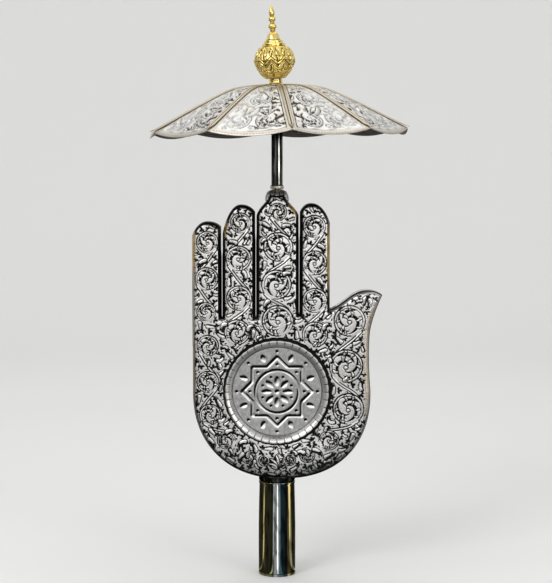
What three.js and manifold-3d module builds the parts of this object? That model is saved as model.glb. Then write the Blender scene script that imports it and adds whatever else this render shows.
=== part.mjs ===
// A panja alam finial: an open right hand of embossed sheet metal on a pole socket,
// with a stem, a ten-gored umbrella and a gilded ball-and-spire above it.
// Millimetres. +Z is up, the palm faces -Y, and the origin is the centre of the
// socket's open lower end.
import * as THREE from "three";
import { mergeVertices } from "three/addons/utils/BufferGeometryUtils.js";
import Module from "manifold-3d";

const wasm = await Module();
wasm.setup();

// Clearances
const fit = 0.3; // between pieces that are seated on or in each other
const turnFit = 0.6; // round pieces that turn or are lifted off

// Pole socket
const socketHeight = 84.5;
const socketFootRadius = 16.4;
const socketTopRadius = 15.2;
const socketWall = 1.5;
const socketRimRoll = 0.8;
const plugThickness = 12;
const plugSpigotRadius = 8;
const plugSpigotHeight = 9;
const washerRadius = 9;
const washerThickness = 1.5;
const nutAcrossFlats = 10;
const nutHeight = 5;

// Neck collar
const collarRadius = 16.1;
const collarHeight = 6;
const collarBoreRadius = 9;

// Hand
const handHalfThickness = 12;
const handWall = 1.3;
const edgeInset = 4.2; // how far the rounded edge reaches in over the face
const edgeDepth = 6; // how far it reaches back from the face
const edgeSteps = 3; // facets round the edge outside
const hollowSteps = 1; // and inside
const palmBottom = 87;
const palmCentreX = 4.2;
const palmCentreZ = 165;
const palmHalfWidth = 78.5;
const palmTopZ = 231;
const curveSteps = 5; // facets along each curve of a finger
const heelSteps = 10; // facets along each quarter of the heel
const thumbRootZ = 219; // where the palm's side turns out into the thumb
const thumbTipX = 92.6;
const thumbTipZ = 250.5;
const thumbTopX = 77;
const thumbTopZ = 254.6;
const thumbWebX = 48.4;
const thumbWebZ = 238.4;
const fingerRootZ = 205;
const seamGap = 0.3; // the solder seam between the two halves

// Fingers: left and right edges, where their shoulders start, and their tips.
const pinky = { left: -74.5, right: -49.3, leftZ: 303, rightZ: 310.5, tipX: -61.2, tipZ: 315 };
const ring = { left: -47.7, right: -19.3, leftZ: 305, rightZ: 323.5, tipX: -31.7, tipZ: 329.8 };
const index = { left: 20.1, right: 46.4, leftZ: 323.5, rightZ: 314, tipX: 30, tipZ: 331 };
const middle = { left: -18, right: 18.9, shoulderZ: 320.5, neckHalf: 8, neckZ: 335, tipZ: 339 };

// Medallion: a plate at the bottom of a round recess, held by a sloping border ring
const medallionZ = 165.6;
const medallionRadius = 41.8;
const medallionDepth = 3.2; // from the palm's face down to the plate
const plateThickness = 1.6;
const borderSlope = 4.2; // how much wider the border is at the face
const borderFlange = 1.1; // its lobed flange on the face
const borderHeight = 0.8;
const borderLobes = 40;
const starPoints = 8;
const starRadius = 34;
const starChannel = 2.8; // the sunk lines of the star
const channelDepth = 0.7;
const petalReach = 15;
const petalHalfWidth = 2.6;

// Stem
const capRadius = 10.8;
const capTop = 343.4;
const capSkirtZ = 333;
const stemCollarRadius = 6.3;
const stemCollarHeight = 3.2;
const stemRadius = 4.95;
const stemBore = 3.1;
const rodRadius = 2.6;
const seatTop = 420;
const seatRadius = 8.5;
const seatHeight = 3.5;

// Umbrella, in heights above the seat
const canopyLean = 1.0; // degrees, the side on the thumb's side is the higher one
const gores = 10;
const firstSeam = -84; // degrees from +X round to the rib in the middle of the front
const tipRadius = 114.6;
const hemRadius = 111.5;
const crownHeight = 13.9;
const kneeRadius = 40;
const kneeSoftness = 14;
const slope = 0.52;
const hemDrop = 4.2;
const sheet = 1.2;
const ribWidth = 5;
const ribHeight = 1.3;
const ribPoint = 1.6;
const ribPointLength = 9;
const ribPointLift = 1.4;
const hubRadius = 8.8;
const hubBore = 4.6;
const hubFlangeRadius = 15;
const hubFlange = 1.6;
const crownDiscRadius = 13;
const crownDisc = 0.9;

// Finial, in heights above the seat along its own axis
const finialLean = 3.5; // degrees, towards the little finger's side
const footRadius = 6.1;
const footHeight = 3.9;
const ballRadius = 17.9;
const ballEquator = 34.7;
const ballUpper = 15.4;
const ballLower = 18.4;
const ballWall = 1.2;
const insertRadius = 4.6;
const insertHeight = 13;
const shoulderRadius = 10.5;
const shoulderStepRadius = 8.6;
const shoulderHeight = 5.4;
const spigotRadius = 3;
const bellRadius = 6.1;
const spireTop = 83.2;
const rodThread = 12; // length of rod inside the finial's nut

// Facets round the turned pieces
const round = 24;
const fine = 30;
const small = 18;

const silver = { color: 0xb9bab6, roughness: 0.34, metalness: 1 };
const polished = { color: 0x9a9c98, roughness: 0.12, metalness: 1 };
const darkened = { color: 0x2c2b28, roughness: 0.3, metalness: 1 };
const gilt = { color: 0xe0b04c, roughness: 0.25, metalness: 1 };
const steel = { color: 0x8d8f90, roughness: 0.4, metalness: 1 };

// Solids from closed meshes, and back

function solid(geometry) {
  const bare = geometry.clone();
  bare.deleteAttribute("normal");
  bare.deleteAttribute("uv");
  const merged = mergeVertices(bare, 1e-4);
  return new wasm.Manifold(
    new wasm.Mesh({
      numProp: 3,
      vertProperties: Float32Array.from(merged.attributes.position.array),
      triVerts: Uint32Array.from(merged.index.array),
    }),
  );
}

function geometryOf(body) {
  const mesh = body.getMesh();
  const geometry = new THREE.BufferGeometry();
  geometry.setAttribute("position", new THREE.BufferAttribute(Float32Array.from(mesh.vertProperties), 3));
  geometry.setIndex(new THREE.BufferAttribute(Uint32Array.from(mesh.triVerts), 1));
  geometry.computeVertexNormals();
  return geometry;
}

function join(bodies) {
  return bodies.reduce((total, body) => total.add(body));
}

// A turned piece about +Z from a profile of [radius, height] points, which starts and
// ends on the axis or else closes on itself. Points run anticlockwise, radius to the right.
function turned(profile, facets = round) {
  const closed = profile[0][0] > 0 ? [...profile, profile[0]] : profile;
  const points = closed.map(([r, z]) => new THREE.Vector2(r, z));
  const geometry = new THREE.LatheGeometry(points, facets);
  geometry.rotateX(Math.PI / 2);
  return geometry;
}

function turnedSolid(profile, facets = round) {
  return solid(turned(profile, facets));
}

function tube(inner, outer, low, high, facets = round) {
  return turned([[inner, low], [outer, low], [outer, high], [inner, high]], facets);
}

function rod(radius, low, high, facets = small) {
  const geometry = new THREE.CylinderGeometry(radius, radius, high - low, facets);
  geometry.rotateX(Math.PI / 2);
  geometry.translate(0, 0, (low + high) / 2);
  return geometry;
}

// Points of a curve of the radius against the height, for a turned outline.
function arcPoints(steps, from, to, place) {
  return Array.from({ length: steps + 1 }, (_, i) => place(from + ((to - from) * i) / steps));
}

// Hand

// Every outline is drawn in by an inset, with the same points at each inset.

function palmOutline(inset) {
  const halfWidth = palmHalfWidth - inset;
  const halfHeight = palmCentreZ - palmBottom - inset;
  const left = pinky.left + 0.2 + inset;
  const top = palmTopZ - inset;
  const heel = (angle, power) => {
    const c = Math.cos(angle);
    const s = Math.sin(angle);
    const x = palmCentreX + halfWidth * Math.sign(c) * Math.abs(c) ** (2 / power);
    return [Math.max(x, left), palmCentreZ + halfHeight * Math.sign(s) * Math.abs(s) ** (2 / power)];
  };
  const shape = new THREE.Shape();
  shape.moveTo(left, top);
  for (let i = 0; i <= heelSteps; i++) {
    shape.lineTo(...heel(Math.PI + (i * Math.PI) / (2 * heelSteps), 2.2));
  }
  for (let i = 1; i <= heelSteps; i++) {
    shape.lineTo(...heel(1.5 * Math.PI + (i * Math.PI) / (2 * heelSteps), 2.3));
  }
  const tip = [thumbTipX - 1.25 * inset, thumbTipZ - 1.05 * inset];
  const waist = palmCentreX + halfWidth - 1.8;
  const rise = thumbRootZ - palmCentreZ;
  shape.bezierCurveTo(
    waist, palmCentreZ + 0.4 * rise,
    waist - 0.4, palmCentreZ + 0.75 * rise,
    waist + 1.2, thumbRootZ,
  );
  shape.quadraticCurveTo(waist + 3.6, thumbRootZ + 0.44 * (thumbTipZ - thumbRootZ), ...tip);
  const nail = thumbTopX + 0.58 * (thumbTipX - thumbTopX) - 0.4 * inset;
  shape.quadraticCurveTo(nail, thumbTopZ + 0.8 - inset, thumbTopX, thumbTopZ - inset);
  const across = thumbTopX - thumbWebX;
  shape.bezierCurveTo(
    thumbTopX - 0.38 * across, thumbTopZ - 1 - inset,
    thumbTopX - 0.6 * across, thumbWebZ + 0.34 * (thumbTopZ - thumbWebZ) - inset,
    thumbWebX, thumbWebZ - inset,
  );
  shape.lineTo(middle.right + 2, top + 3);
  shape.lineTo(0, top);
  return openRing(shape);
}

function fingerOutline({ left, right, leftZ, rightZ, tipX, tipZ }) {
  return (inset) => {
    const [l, r, top] = [left + inset, right - inset, tipZ - inset];
    const shape = new THREE.Shape();
    shape.moveTo(l, fingerRootZ + inset);
    shape.lineTo(r, fingerRootZ + inset);
    shape.lineTo(r, rightZ - 0.7 * inset);
    shape.quadraticCurveTo(r - 0.35 * (r - tipX), top, tipX, top);
    shape.quadraticCurveTo(l + 0.35 * (tipX - l), top, l, leftZ - 0.5 * inset);
    return openRing(shape);
  };
}

function middleOutline(inset) {
  const { left, right, shoulderZ, neckHalf, neckZ, tipZ } = middle;
  const [l, r, n] = [left + inset, right - inset, neckHalf - inset];
  const [shoulder, neck] = [shoulderZ - 0.4 * inset, neckZ - 0.6 * inset];
  const shape = new THREE.Shape();
  shape.moveTo(l, fingerRootZ + inset);
  shape.lineTo(r, fingerRootZ + inset);
  shape.lineTo(r, shoulder);
  shape.bezierCurveTo(r - 2.5, shoulder + 7, n + 3, neck - 5, n, neck);
  shape.lineTo(n * 0.8, tipZ - inset);
  shape.lineTo(-n * 0.8, tipZ - inset);
  shape.lineTo(-n, neck);
  shape.bezierCurveTo(-n - 3, neck - 5, l + 2.5, shoulder + 7, l, shoulder);
  return openRing(shape);
}

// The points of a shape, without the last one where it repeats the first.
function openRing(shape) {
  const points = shape.getPoints(curveSteps);
  return points[0].distanceTo(points.at(-1)) < 1e-6 ? points.slice(0, -1) : points;
}

// A slab of an outline with rounded edges, drawn in by inset on every side.
function slab(outline, inset, steps) {
  const half = handHalfThickness - inset;
  const edge = arcPoints(steps, 0, Math.PI / 2, (turn) => [
    inset + edgeInset * (1 - Math.sin(turn)),
    half - edgeDepth * (1 - Math.cos(turn)),
  ]);
  const stations = [...edge, ...edge.map(([reach, y]) => [reach, -y]).reverse()];
  return solid(loft(stations.map(([reach, y]) => outline(reach).map((p) => [p.x, -y, p.y]))));
}

// A skin over sections that lie in planes square to Y, with flat ends.
function loft(sections) {
  const count = sections[0].length;
  const index = wall(sections.length, count);
  const flat = (section) => section.map(([x, , z]) => new THREE.Vector2(x, z));
  const last = (sections.length - 1) * count;
  for (const [a, b, c] of THREE.ShapeUtils.triangulateShape(flat(sections[0]), [])) {
    index.push(a, b, c);
  }
  for (const [a, b, c] of THREE.ShapeUtils.triangulateShape(flat(sections.at(-1)), [])) {
    index.push(last + a, last + c, last + b);
  }
  return outward(sections.flat(2), index);
}

// The faces between neighbouring sections of equal length.
function wall(sections, count) {
  const index = [];
  for (let i = 0; i + 1 < sections; i++) {
    for (let k = 0; k < count; k++) {
      const l = (k + 1) % count;
      const [a, b, c, d] = [i * count + k, (i + 1) * count + k, (i + 1) * count + l, i * count + l];
      index.push(a, b, c, a, c, d);
    }
  }
  return index;
}

const handOutlines = [
  palmOutline,
  fingerOutline(pinky),
  fingerOutline(ring),
  middleOutline,
  fingerOutline(index),
];

function handBody(inset) {
  const steps = inset > 0 ? hollowSteps : edgeSteps;
  return join(handOutlines.map((outline) => slab(outline, inset, steps)));
}

// A disc across the palm, for the medallion's recess, turned to face -Y.
function palmDisc(profile, facets = 48) {
  const geometry = turned(profile, facets);
  geometry.rotateX(Math.PI / 2);
  geometry.translate(0, 0, medallionZ);
  return geometry;
}

const recessFloor = handHalfThickness - medallionDepth - plateThickness - fit;
const recessRadius = medallionRadius + fit;

function recess(extra) {
  const floor = recessFloor - extra;
  const above = handHalfThickness + borderFlange;
  const mouth = recessRadius + borderSlope + extra;
  return solid(
    palmDisc([
      [0, floor],
      [recessRadius + 1 + extra, floor],
      [mouth, handHalfThickness],
      [mouth, above],
      [0, above],
    ]),
  );
}

const beyondHand = 4 * palmHalfWidth; // wider than the hand and past its tips

function halfSpace(side) {
  const box = new THREE.BoxGeometry(beyondHand, beyondHand, 2 * beyondHand);
  box.translate(0, (side * (beyondHand + seamGap)) / 2, beyondHand);
  return solid(box);
}

const coreOuter = stemRadius;

function handHalf(side) {
  const hollow = side < 0 ? handBody(handWall).subtract(recess(handWall)) : handBody(handWall);
  let half = handBody(0).intersect(halfSpace(side));
  if (side < 0) half = half.subtract(recess(0));
  const neckHole = solid(rod(plugSpigotRadius + fit, palmBottom - 5, palmBottom + 12));
  const tipHole = solid(rod(coreOuter + fit, middle.tipZ - 8, middle.tipZ + 5));
  return geometryOf(half.subtract(hollow).subtract(neckHole).subtract(tipHole));
}

// Medallion

function medallionPlate() {
  const low = recessFloor + fit;
  const top = low + plateThickness;
  const reach = medallionRadius - fit;
  const disc = solid(palmDisc([[0, low], [reach, low], [reach, top], [0, top]]));
  const line = new THREE.Shape(starRing(starRadius));
  line.holes.push(new THREE.Path(starRing(starRadius - starChannel).reverse()));
  const cuts = [sunk(line, top)];
  for (let i = 0; i < starPoints; i++) cuts.push(sunk(petal((2 * Math.PI * i) / starPoints), top));
  return geometryOf(disc.subtract(join(cuts)));
}

// The cutter that sinks a flat shape into the plate.
function sunk(shape, top) {
  const geometry = new THREE.ExtrudeGeometry(shape, {
    depth: 2 * channelDepth,
    bevelEnabled: false,
    curveSegments: 3,
  });
  geometry.translate(0, 0, top - channelDepth);
  geometry.rotateX(Math.PI / 2);
  geometry.translate(0, 0, medallionZ);
  return solid(geometry);
}

// The outline of an eight-pointed star, two squares laid across each other.
function starRing(radius) {
  const inner = (radius * Math.cos(Math.PI / 4)) / Math.cos(Math.PI / starPoints);
  return Array.from({ length: 2 * starPoints }, (_, i) => {
    const angle = (i * Math.PI) / starPoints;
    const reach = i % 2 ? inner : radius;
    return new THREE.Vector2(reach * Math.cos(angle), reach * Math.sin(angle));
  });
}

// A pointed petal from near the centre outward.
function petal(angle) {
  const at = (along, side) => [
    along * Math.cos(angle) - side * Math.sin(angle),
    along * Math.sin(angle) + side * Math.cos(angle),
  ];
  const root = petalReach * 0.3;
  const belly = petalReach * 0.68;
  const shape = new THREE.Shape();
  shape.moveTo(...at(root, 0));
  shape.quadraticCurveTo(...at(belly, petalHalfWidth * 2), ...at(petalReach, 0));
  shape.quadraticCurveTo(...at(belly, -petalHalfWidth * 2), ...at(root, 0));
  return shape;
}

// The border slopes from the plate up to a flange whose edge and height swell in lobes.
function medallionBorder() {
  const steps = borderLobes * 2;
  const low = recessFloor + fit;
  const floor = handHalfThickness - medallionDepth;
  const flange = handHalfThickness + fit;
  const rings = Array.from({ length: steps }, (_, i) => {
    const angle = (2 * Math.PI * i) / steps;
    const swell = i % 2;
    const section = [
      [medallionRadius, low],
      [medallionRadius + 0.8, low],
      [medallionRadius + borderSlope, flange],
      [medallionRadius + borderSlope + borderFlange + 0.7 * swell, flange],
      [medallionRadius + borderSlope + 0.4 * borderFlange, flange + borderHeight * (0.6 + 0.4 * swell)],
      [medallionRadius, floor],
    ];
    return section.map(([radius, y]) => [
      radius * Math.cos(angle),
      -y,
      medallionZ + radius * Math.sin(angle),
    ]);
  });
  return ringMesh(rings);
}

// A closed loop of sections, each a ring of points.
function ringMesh(rings) {
  const count = rings[0].length;
  const index = [];
  rings.forEach((_, i) => {
    const j = (i + 1) % rings.length;
    for (let k = 0; k < count; k++) {
      const l = (k + 1) % count;
      const [a, b, c, d] = [i * count + k, j * count + k, j * count + l, i * count + l];
      index.push(a, b, c, a, c, d);
    }
  });
  return outward(rings.flat(2), index);
}

// A row of sections, closed at both ends by fans.
function sweptMesh(sections) {
  const count = sections[0].length;
  const index = wall(sections.length, count);
  const last = (sections.length - 1) * count;
  for (let k = 1; k + 1 < count; k++) {
    index.push(0, k, k + 1);
    index.push(last, last + k + 1, last + k);
  }
  return outward(sections.flat(2), index);
}

// Turns every face outward by the sign of the enclosed volume.
function outward(coordinates, index) {
  const corner = (i) => new THREE.Vector3(...coordinates.slice(3 * i, 3 * i + 3));
  let volume = 0;
  for (let t = 0; t < index.length; t += 3) {
    volume += corner(index[t]).dot(corner(index[t + 1]).cross(corner(index[t + 2])));
  }
  const faces = volume > 0 ? index : [...index].reverse();
  const geometry = new THREE.BufferGeometry();
  geometry.setAttribute("position", new THREE.Float32BufferAttribute(coordinates, 3));
  geometry.setIndex(faces);
  geometry.computeVertexNormals();
  return geometry;
}

// Socket, plug and rod

const plugTop = socketHeight;
const plugLow = plugTop - plugThickness;
const collarTop = palmBottom + collarHeight - 2.5;
const spigotTop = palmBottom + plugSpigotHeight;
const plugRadius = socketTopRadius - socketWall - fit;

function socketTube() {
  const h = socketHeight;
  const r = socketRimRoll;
  return turned(
    [
      [socketFootRadius - socketWall, 0],
      [socketFootRadius - 0.4, 0],
      [socketFootRadius, 0.5],
      [socketFootRadius - 0.15, 2.5],
      [socketFootRadius - 0.55, 12],
      [socketTopRadius + 0.1, h * 0.6],
      [socketTopRadius, h - 3.2],
      [socketTopRadius + r, h - 2.2],
      [socketTopRadius + r, h - 0.5],
      [socketTopRadius + r - 0.5, h],
      [socketTopRadius - socketWall, h],
    ],
    fine,
  );
}

function socketPlug() {
  return turned([
    [rodRadius + fit, plugLow],
    [plugRadius, plugLow],
    [plugRadius, plugTop],
    [plugSpigotRadius, plugTop],
    [plugSpigotRadius, spigotTop],
    [rodRadius + fit, spigotTop],
  ]);
}

function neckCollar() {
  const low = plugTop + fit;
  const blank = turnedSolid([
    [collarBoreRadius, low],
    [collarRadius - 0.5, low],
    [collarRadius, low + 0.6],
    [collarRadius, collarTop - 1],
    [collarRadius - 1, collarTop],
    [collarBoreRadius, collarTop],
  ]);
  return geometryOf(blank.subtract(handBody(-fit)));
}

function hexNut() {
  const corner = nutAcrossFlats / Math.sqrt(3);
  const low = plugLow - fit - washerThickness - fit - nutHeight;
  const blank = solid(rod(corner, low, low + nutHeight, 6));
  return geometryOf(blank.subtract(solid(rod(rodRadius + fit, low - 1, low + nutHeight + 1))));
}

// The rod is straight up to the seat. Its threaded end above is bent over.
function tieRod() {
  const low = plugLow - fit - washerThickness - fit - nutHeight - 3;
  const straight = solid(rod(rodRadius, low, seatTop + 0.5));
  const bent = rod(rodRadius, -0.5, crownHeight + fit + rodThread);
  bent.rotateY(-THREE.MathUtils.degToRad(finialLean));
  bent.translate(0, 0, seatTop);
  return geometryOf(straight.add(solid(bent)));
}

// Stem

function stemCap() {
  const blank = turnedSolid([
    [rodRadius + fit, capSkirtZ],
    [capRadius - 0.6, capSkirtZ],
    [capRadius, capSkirtZ + 1.2],
    [capRadius - 0.3, capSkirtZ + 4],
    [capRadius - 2.2, capSkirtZ + 7.2],
    [capRadius - 5, capTop - 0.4],
    [rodRadius + fit, capTop],
  ]);
  const core = solid(rod(coreOuter + fit, capSkirtZ - 1, middle.tipZ + fit));
  return geometryOf(blank.subtract(handBody(-fit)).subtract(core));
}

const stemLow = capTop + fit;
const stemHigh = seatTop - seatHeight - fit;

function stemCollar() {
  const low = stemLow;
  const high = low + stemCollarHeight;
  return turned([
    [stemRadius + fit, low],
    [stemCollarRadius - 0.6, low],
    [stemCollarRadius, low + 1],
    [stemCollarRadius, high - 1],
    [stemCollarRadius - 0.6, high],
    [stemRadius + fit, high],
  ]);
}

function canopySeat() {
  const low = seatTop - seatHeight;
  return turned([
    [rodRadius + fit, low],
    [seatRadius - 1.2, low],
    [seatRadius, low + 1.2],
    [seatRadius, seatTop - 0.5],
    [seatRadius - 0.5, seatTop],
    [rodRadius + fit, seatTop],
  ]);
}

// Umbrella

// Height of the umbrella's skin at a radius: nearly flat at the crown, then a cone.
function skinHeight(radius) {
  const past = radius - kneeRadius;
  return crownHeight - (slope * (Math.hypot(past, kneeSoftness) + past)) / 2;
}

// How far between two ribs a place is: 0 at the ribs, 1 midway.
function between(angle, halfGore) {
  return 1 - (angle / halfGore) ** 2;
}

const panelRoot = hubRadius + fit;

function canopyPanel() {
  const halfGore = Math.PI / gores;
  const across = 6;
  const along = 6;
  const place = (i, j, under) => {
    const share = -1 + (2 * i) / across;
    const reach = ((j / along) ** 0.9);
    const middleAngle = share * halfGore;
    const b = between(middleAngle, halfGore);
    const outer = tipRadius - (tipRadius - hemRadius) * b;
    const radius = panelRoot + (outer - panelRoot) * reach;
    const angle = share * (halfGore - Math.asin(fit / 2 / radius));
    const z = skinHeight(radius) - hemDrop * b * reach ** 4 - (under ? sheet : 0);
    return [radius * Math.cos(angle), radius * Math.sin(angle), z];
  };
  const sections = [];
  for (let j = 0; j <= along; j++) {
    const top = Array.from({ length: across + 1 }, (_, i) => place(i, j, false));
    const below = Array.from({ length: across + 1 }, (_, i) => place(across - i, j, true));
    sections.push([...top, ...below]);
  }
  return panelMesh(sections, across);
}

// Sections joined in a row, with end faces made of quads.
function panelMesh(sections, across) {
  const count = sections[0].length;
  const index = wall(sections.length, count);
  const last = (sections.length - 1) * count;
  for (let k = 0; k < across; k++) {
    const [near, far] = [[k, k + 1], [count - 2 - k, count - 1 - k]];
    index.push(near[0], near[1], far[0], near[0], far[0], far[1]);
    index.push(last + far[1], last + far[0], last + near[1], last + far[1], last + near[1], last + near[0]);
  }
  return outward(sections.flat(2), index);
}

function canopyRib() {
  const steps = 8;
  const start = crownDiscRadius + fit;
  const end = tipRadius + ribPoint;
  const sections = arcPoints(steps, 0, 1, (t) => {
    const radius = start + (end - start) * t;
    const toPoint = Math.max(0, 1 - (end - radius) / ribPointLength);
    const half = (ribWidth / 2) * (1 - 0.88 * toPoint);
    const z = skinHeight(radius) + fit + ribPointLift * toPoint ** 2;
    const crown = ribHeight * (1 - 0.5 * toPoint);
    return [
      [radius, -half, z],
      [radius, half, z],
      [radius, half, z + crown * 0.6],
      [radius, half * 0.6, z + crown],
      [radius, -half * 0.6, z + crown],
      [radius, -half, z + crown * 0.6],
    ];
  });
  return sweptMesh(sections);
}

function canopyHub() {
  const under = (radius) => skinHeight(radius) - sheet - fit;
  return turned([
    [hubBore, fit + 0.2],
    [hubRadius - 0.8, fit + 0.2],
    [hubRadius, 1.2],
    [hubRadius, under(hubFlangeRadius) - hubFlange],
    [hubFlangeRadius, under(hubFlangeRadius) - hubFlange],
    [hubFlangeRadius, under(hubFlangeRadius)],
    [hubRadius, under(hubFlangeRadius)],
    [hubRadius, skinHeight(hubRadius)],
    [hubBore, skinHeight(hubRadius)],
  ]);
}

const discLow = crownHeight;

function canopyCrown() {
  return turned([
    [hubBore, discLow],
    [crownDiscRadius - 0.4, discLow],
    [crownDiscRadius, discLow + 0.3],
    [crownDiscRadius - 0.5, discLow + crownDisc],
    [hubBore, discLow + crownDisc],
  ]);
}

// Finial

const footLow = discLow + crownDisc + turnFit;
const footTop = footLow + footHeight;

// Radius of the ball at a height: two half ellipses that meet at the equator.
function ballAt(height, inset = 0) {
  const half = height > ballEquator ? ballUpper : ballLower;
  const share = (height - ballEquator) / (half - inset);
  return (ballRadius - inset) * Math.sqrt(Math.max(0, 1 - share * share));
}

function ballHalf(from, to, inset, steps) {
  return arcPoints(steps, from, to, (height) => [ballAt(height, inset), height]);
}

function finialFoot() {
  return turned([
    [insertRadius + fit, footLow],
    [footRadius - 0.4, footLow],
    [footRadius, footLow + 0.5],
    [footRadius, footTop - 1.4],
    [footRadius - 0.5, footTop - 1],
    [footRadius - 0.5, footTop],
    [insertRadius + fit, footTop],
  ]);
}

function finialInsert() {
  return tube(rodRadius + turnFit, insertRadius, footLow + fit, footLow + insertHeight, small);
}

const ballFoot = footTop + fit;
const seamZ = ballEquator;

function ballLowerHalf() {
  const outer = ballHalf(ballFoot, seamZ, 0, 7).filter(([r]) => r > footRadius);
  const inner = ballHalf(ballFoot + ballWall, seamZ, ballWall, 5).filter(([r]) => r > footRadius);
  return turned([
    [insertRadius + fit, ballFoot],
    [footRadius - 0.5, ballFoot],
    ...outer,
    ...inner.reverse(),
    [insertRadius + fit, ballFoot + ballWall],
  ]);
}

const shoulderLow = ballEquator + ballUpper * Math.sqrt(1 - (shoulderRadius / ballRadius) ** 2);

function ballUpperHalf() {
  const top = ballEquator + ballUpper * 0.985;
  const outer = ballHalf(seamZ + fit, top, 0, 7);
  const inner = ballHalf(seamZ + fit, top - ballWall, ballWall, 5);
  const bore = spigotRadius + fit;
  return turned([
    ...outer.filter(([r]) => r > bore),
    [bore, top],
    [bore, top - ballWall],
    ...inner.filter(([r]) => r > bore).reverse(),
  ]);
}

// The stepped collar is hollowed below to sit over the top of the ball.
function finialShoulder() {
  const top = shoulderLow + shoulderHeight;
  const blank = turnedSolid([
    [spigotRadius + fit, shoulderLow - 1],
    [shoulderRadius, shoulderLow - 1],
    [shoulderRadius, shoulderLow + 2.6],
    [shoulderRadius - 0.5, shoulderLow + 3],
    [shoulderStepRadius, shoulderLow + 3.2],
    [shoulderStepRadius, top - 0.5],
    [shoulderStepRadius - 0.5, top],
    [spigotRadius + fit, top],
  ]);
  const cap = turnedSolid([
    [0, ballEquator],
    ...arcPoints(10, 0, 1, (t) => {
      const angle = (t * Math.PI) / 2;
      return [(ballRadius + fit) * Math.cos(angle), ballEquator + (ballUpper + fit) * Math.sin(angle)];
    }).slice(0, -1),
    [0, ballEquator + ballUpper + fit],
  ]);
  return geometryOf(blank.subtract(cap));
}

function finialSpire() {
  const low = shoulderLow + shoulderHeight + fit;
  const pin = ballEquator + ballUpper * 0.8;
  const bead = (z, half, wide, waist) => [
    [waist, z - half],
    [wide * 0.8, z - half * 0.8],
    [wide, z],
    [wide * 0.8, z + half * 0.8],
    [waist, z + half],
  ];
  return turned(
    [
      [0, pin],
      [spigotRadius, pin],
      [spigotRadius, low],
      [bellRadius, low],
      [bellRadius, low + 0.8],
      [bellRadius * 0.86, low + 2],
      [bellRadius * 0.72, low + 4.4],
      [bellRadius * 0.62, low + 6.6],
      [2.9, low + 7.4],
      [2.9, low + 9.2],
      ...bead(low + 12.2, 2.4, 4.3, 2.3),
      ...bead(low + 18.5, 2, 3.8, 1.9),
      [1.9, low + 21.6],
      [3.1, low + 22.4],
      [2.9, low + 24.4],
      [1.4, low + 28],
      [0, spireTop],
    ],
    small,
  );
}

// Assembly

const object = new THREE.Group();
const hand = new THREE.Group();
const canopy = new THREE.Group();
const finial = new THREE.Group();

function add(group, name, geometry, finish) {
  const mesh = new THREE.Mesh(geometry, new THREE.MeshStandardMaterial(finish));
  mesh.name = name;
  group.add(mesh);
  return mesh;
}

const washerLow = plugLow - fit - washerThickness;
const coreLow = spigotTop + fit;
const coreHigh = middle.tipZ;

add(hand, "pole_socket", socketTube(), polished);
add(hand, "socket_plug", socketPlug(), steel);
add(hand, "rod_washer", tube(rodRadius + fit, washerRadius, washerLow, washerLow + washerThickness), steel);
add(hand, "rod_nut", hexNut(), steel);
add(hand, "tie_rod", tieRod(), steel);
add(hand, "neck_collar", neckCollar(), darkened);
add(hand, "core_tube", tube(rodRadius + fit, coreOuter, coreLow, coreHigh, small), steel);
add(hand, "hand_front", handHalf(-1), silver);
add(hand, "hand_back", handHalf(1), silver);
add(hand, "medallion_plate", medallionPlate(), silver);
add(hand, "medallion_border", medallionBorder(), silver);
add(hand, "stem_cap", stemCap(), polished);
add(hand, "stem_collar", stemCollar(), polished);
add(hand, "stem_tube", tube(stemBore, stemRadius, stemLow, stemHigh), polished);
add(hand, "canopy_seat", canopySeat(), polished);

canopy.position.z = seatTop;
canopy.rotation.y = -THREE.MathUtils.degToRad(canopyLean);
add(canopy, "canopy_hub", canopyHub(), silver);
add(canopy, "canopy_crown", canopyCrown(), silver);
for (let i = 0; i < gores; i++) {
  const seam = THREE.MathUtils.degToRad(firstSeam + (360 / gores) * i);
  const number = String(i + 1).padStart(2, "0");
  const panel = add(canopy, `canopy_panel_${number}`, canopyPanel(), silver);
  panel.rotation.z = seam + Math.PI / gores;
  const rib = add(canopy, `canopy_rib_${number}`, canopyRib(), silver);
  rib.rotation.z = seam;
}

finial.position.z = seatTop;
finial.rotation.y = -THREE.MathUtils.degToRad(finialLean);
add(finial, "finial_foot", finialFoot(), gilt);
add(finial, "finial_nut", finialInsert(), steel);
add(finial, "ball_lower", ballLowerHalf(), gilt);
add(finial, "ball_upper", ballUpperHalf(), gilt);
add(finial, "finial_shoulder", finialShoulder(), gilt);
add(finial, "finial_spire", finialSpire(), gilt);

object.add(hand, canopy, finial);
export default object;
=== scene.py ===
import math

import bpy
import numpy as np
from mathutils import Matrix
from mathutils.geometry import delaunay_2d_cdt


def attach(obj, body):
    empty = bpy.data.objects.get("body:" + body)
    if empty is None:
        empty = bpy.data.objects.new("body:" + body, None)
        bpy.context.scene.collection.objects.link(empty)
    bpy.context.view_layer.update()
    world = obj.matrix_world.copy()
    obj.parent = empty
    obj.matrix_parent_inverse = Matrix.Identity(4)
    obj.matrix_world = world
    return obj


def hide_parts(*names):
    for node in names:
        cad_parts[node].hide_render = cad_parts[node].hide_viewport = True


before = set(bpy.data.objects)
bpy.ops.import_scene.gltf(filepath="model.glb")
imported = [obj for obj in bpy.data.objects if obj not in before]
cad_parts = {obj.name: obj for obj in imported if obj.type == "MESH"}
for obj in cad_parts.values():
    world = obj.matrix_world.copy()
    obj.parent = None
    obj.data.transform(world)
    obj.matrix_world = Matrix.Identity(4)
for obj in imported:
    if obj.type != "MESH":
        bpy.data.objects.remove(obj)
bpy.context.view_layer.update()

MM = 0.001
TAU = 2 * math.pi
UP = math.pi / 2

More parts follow.
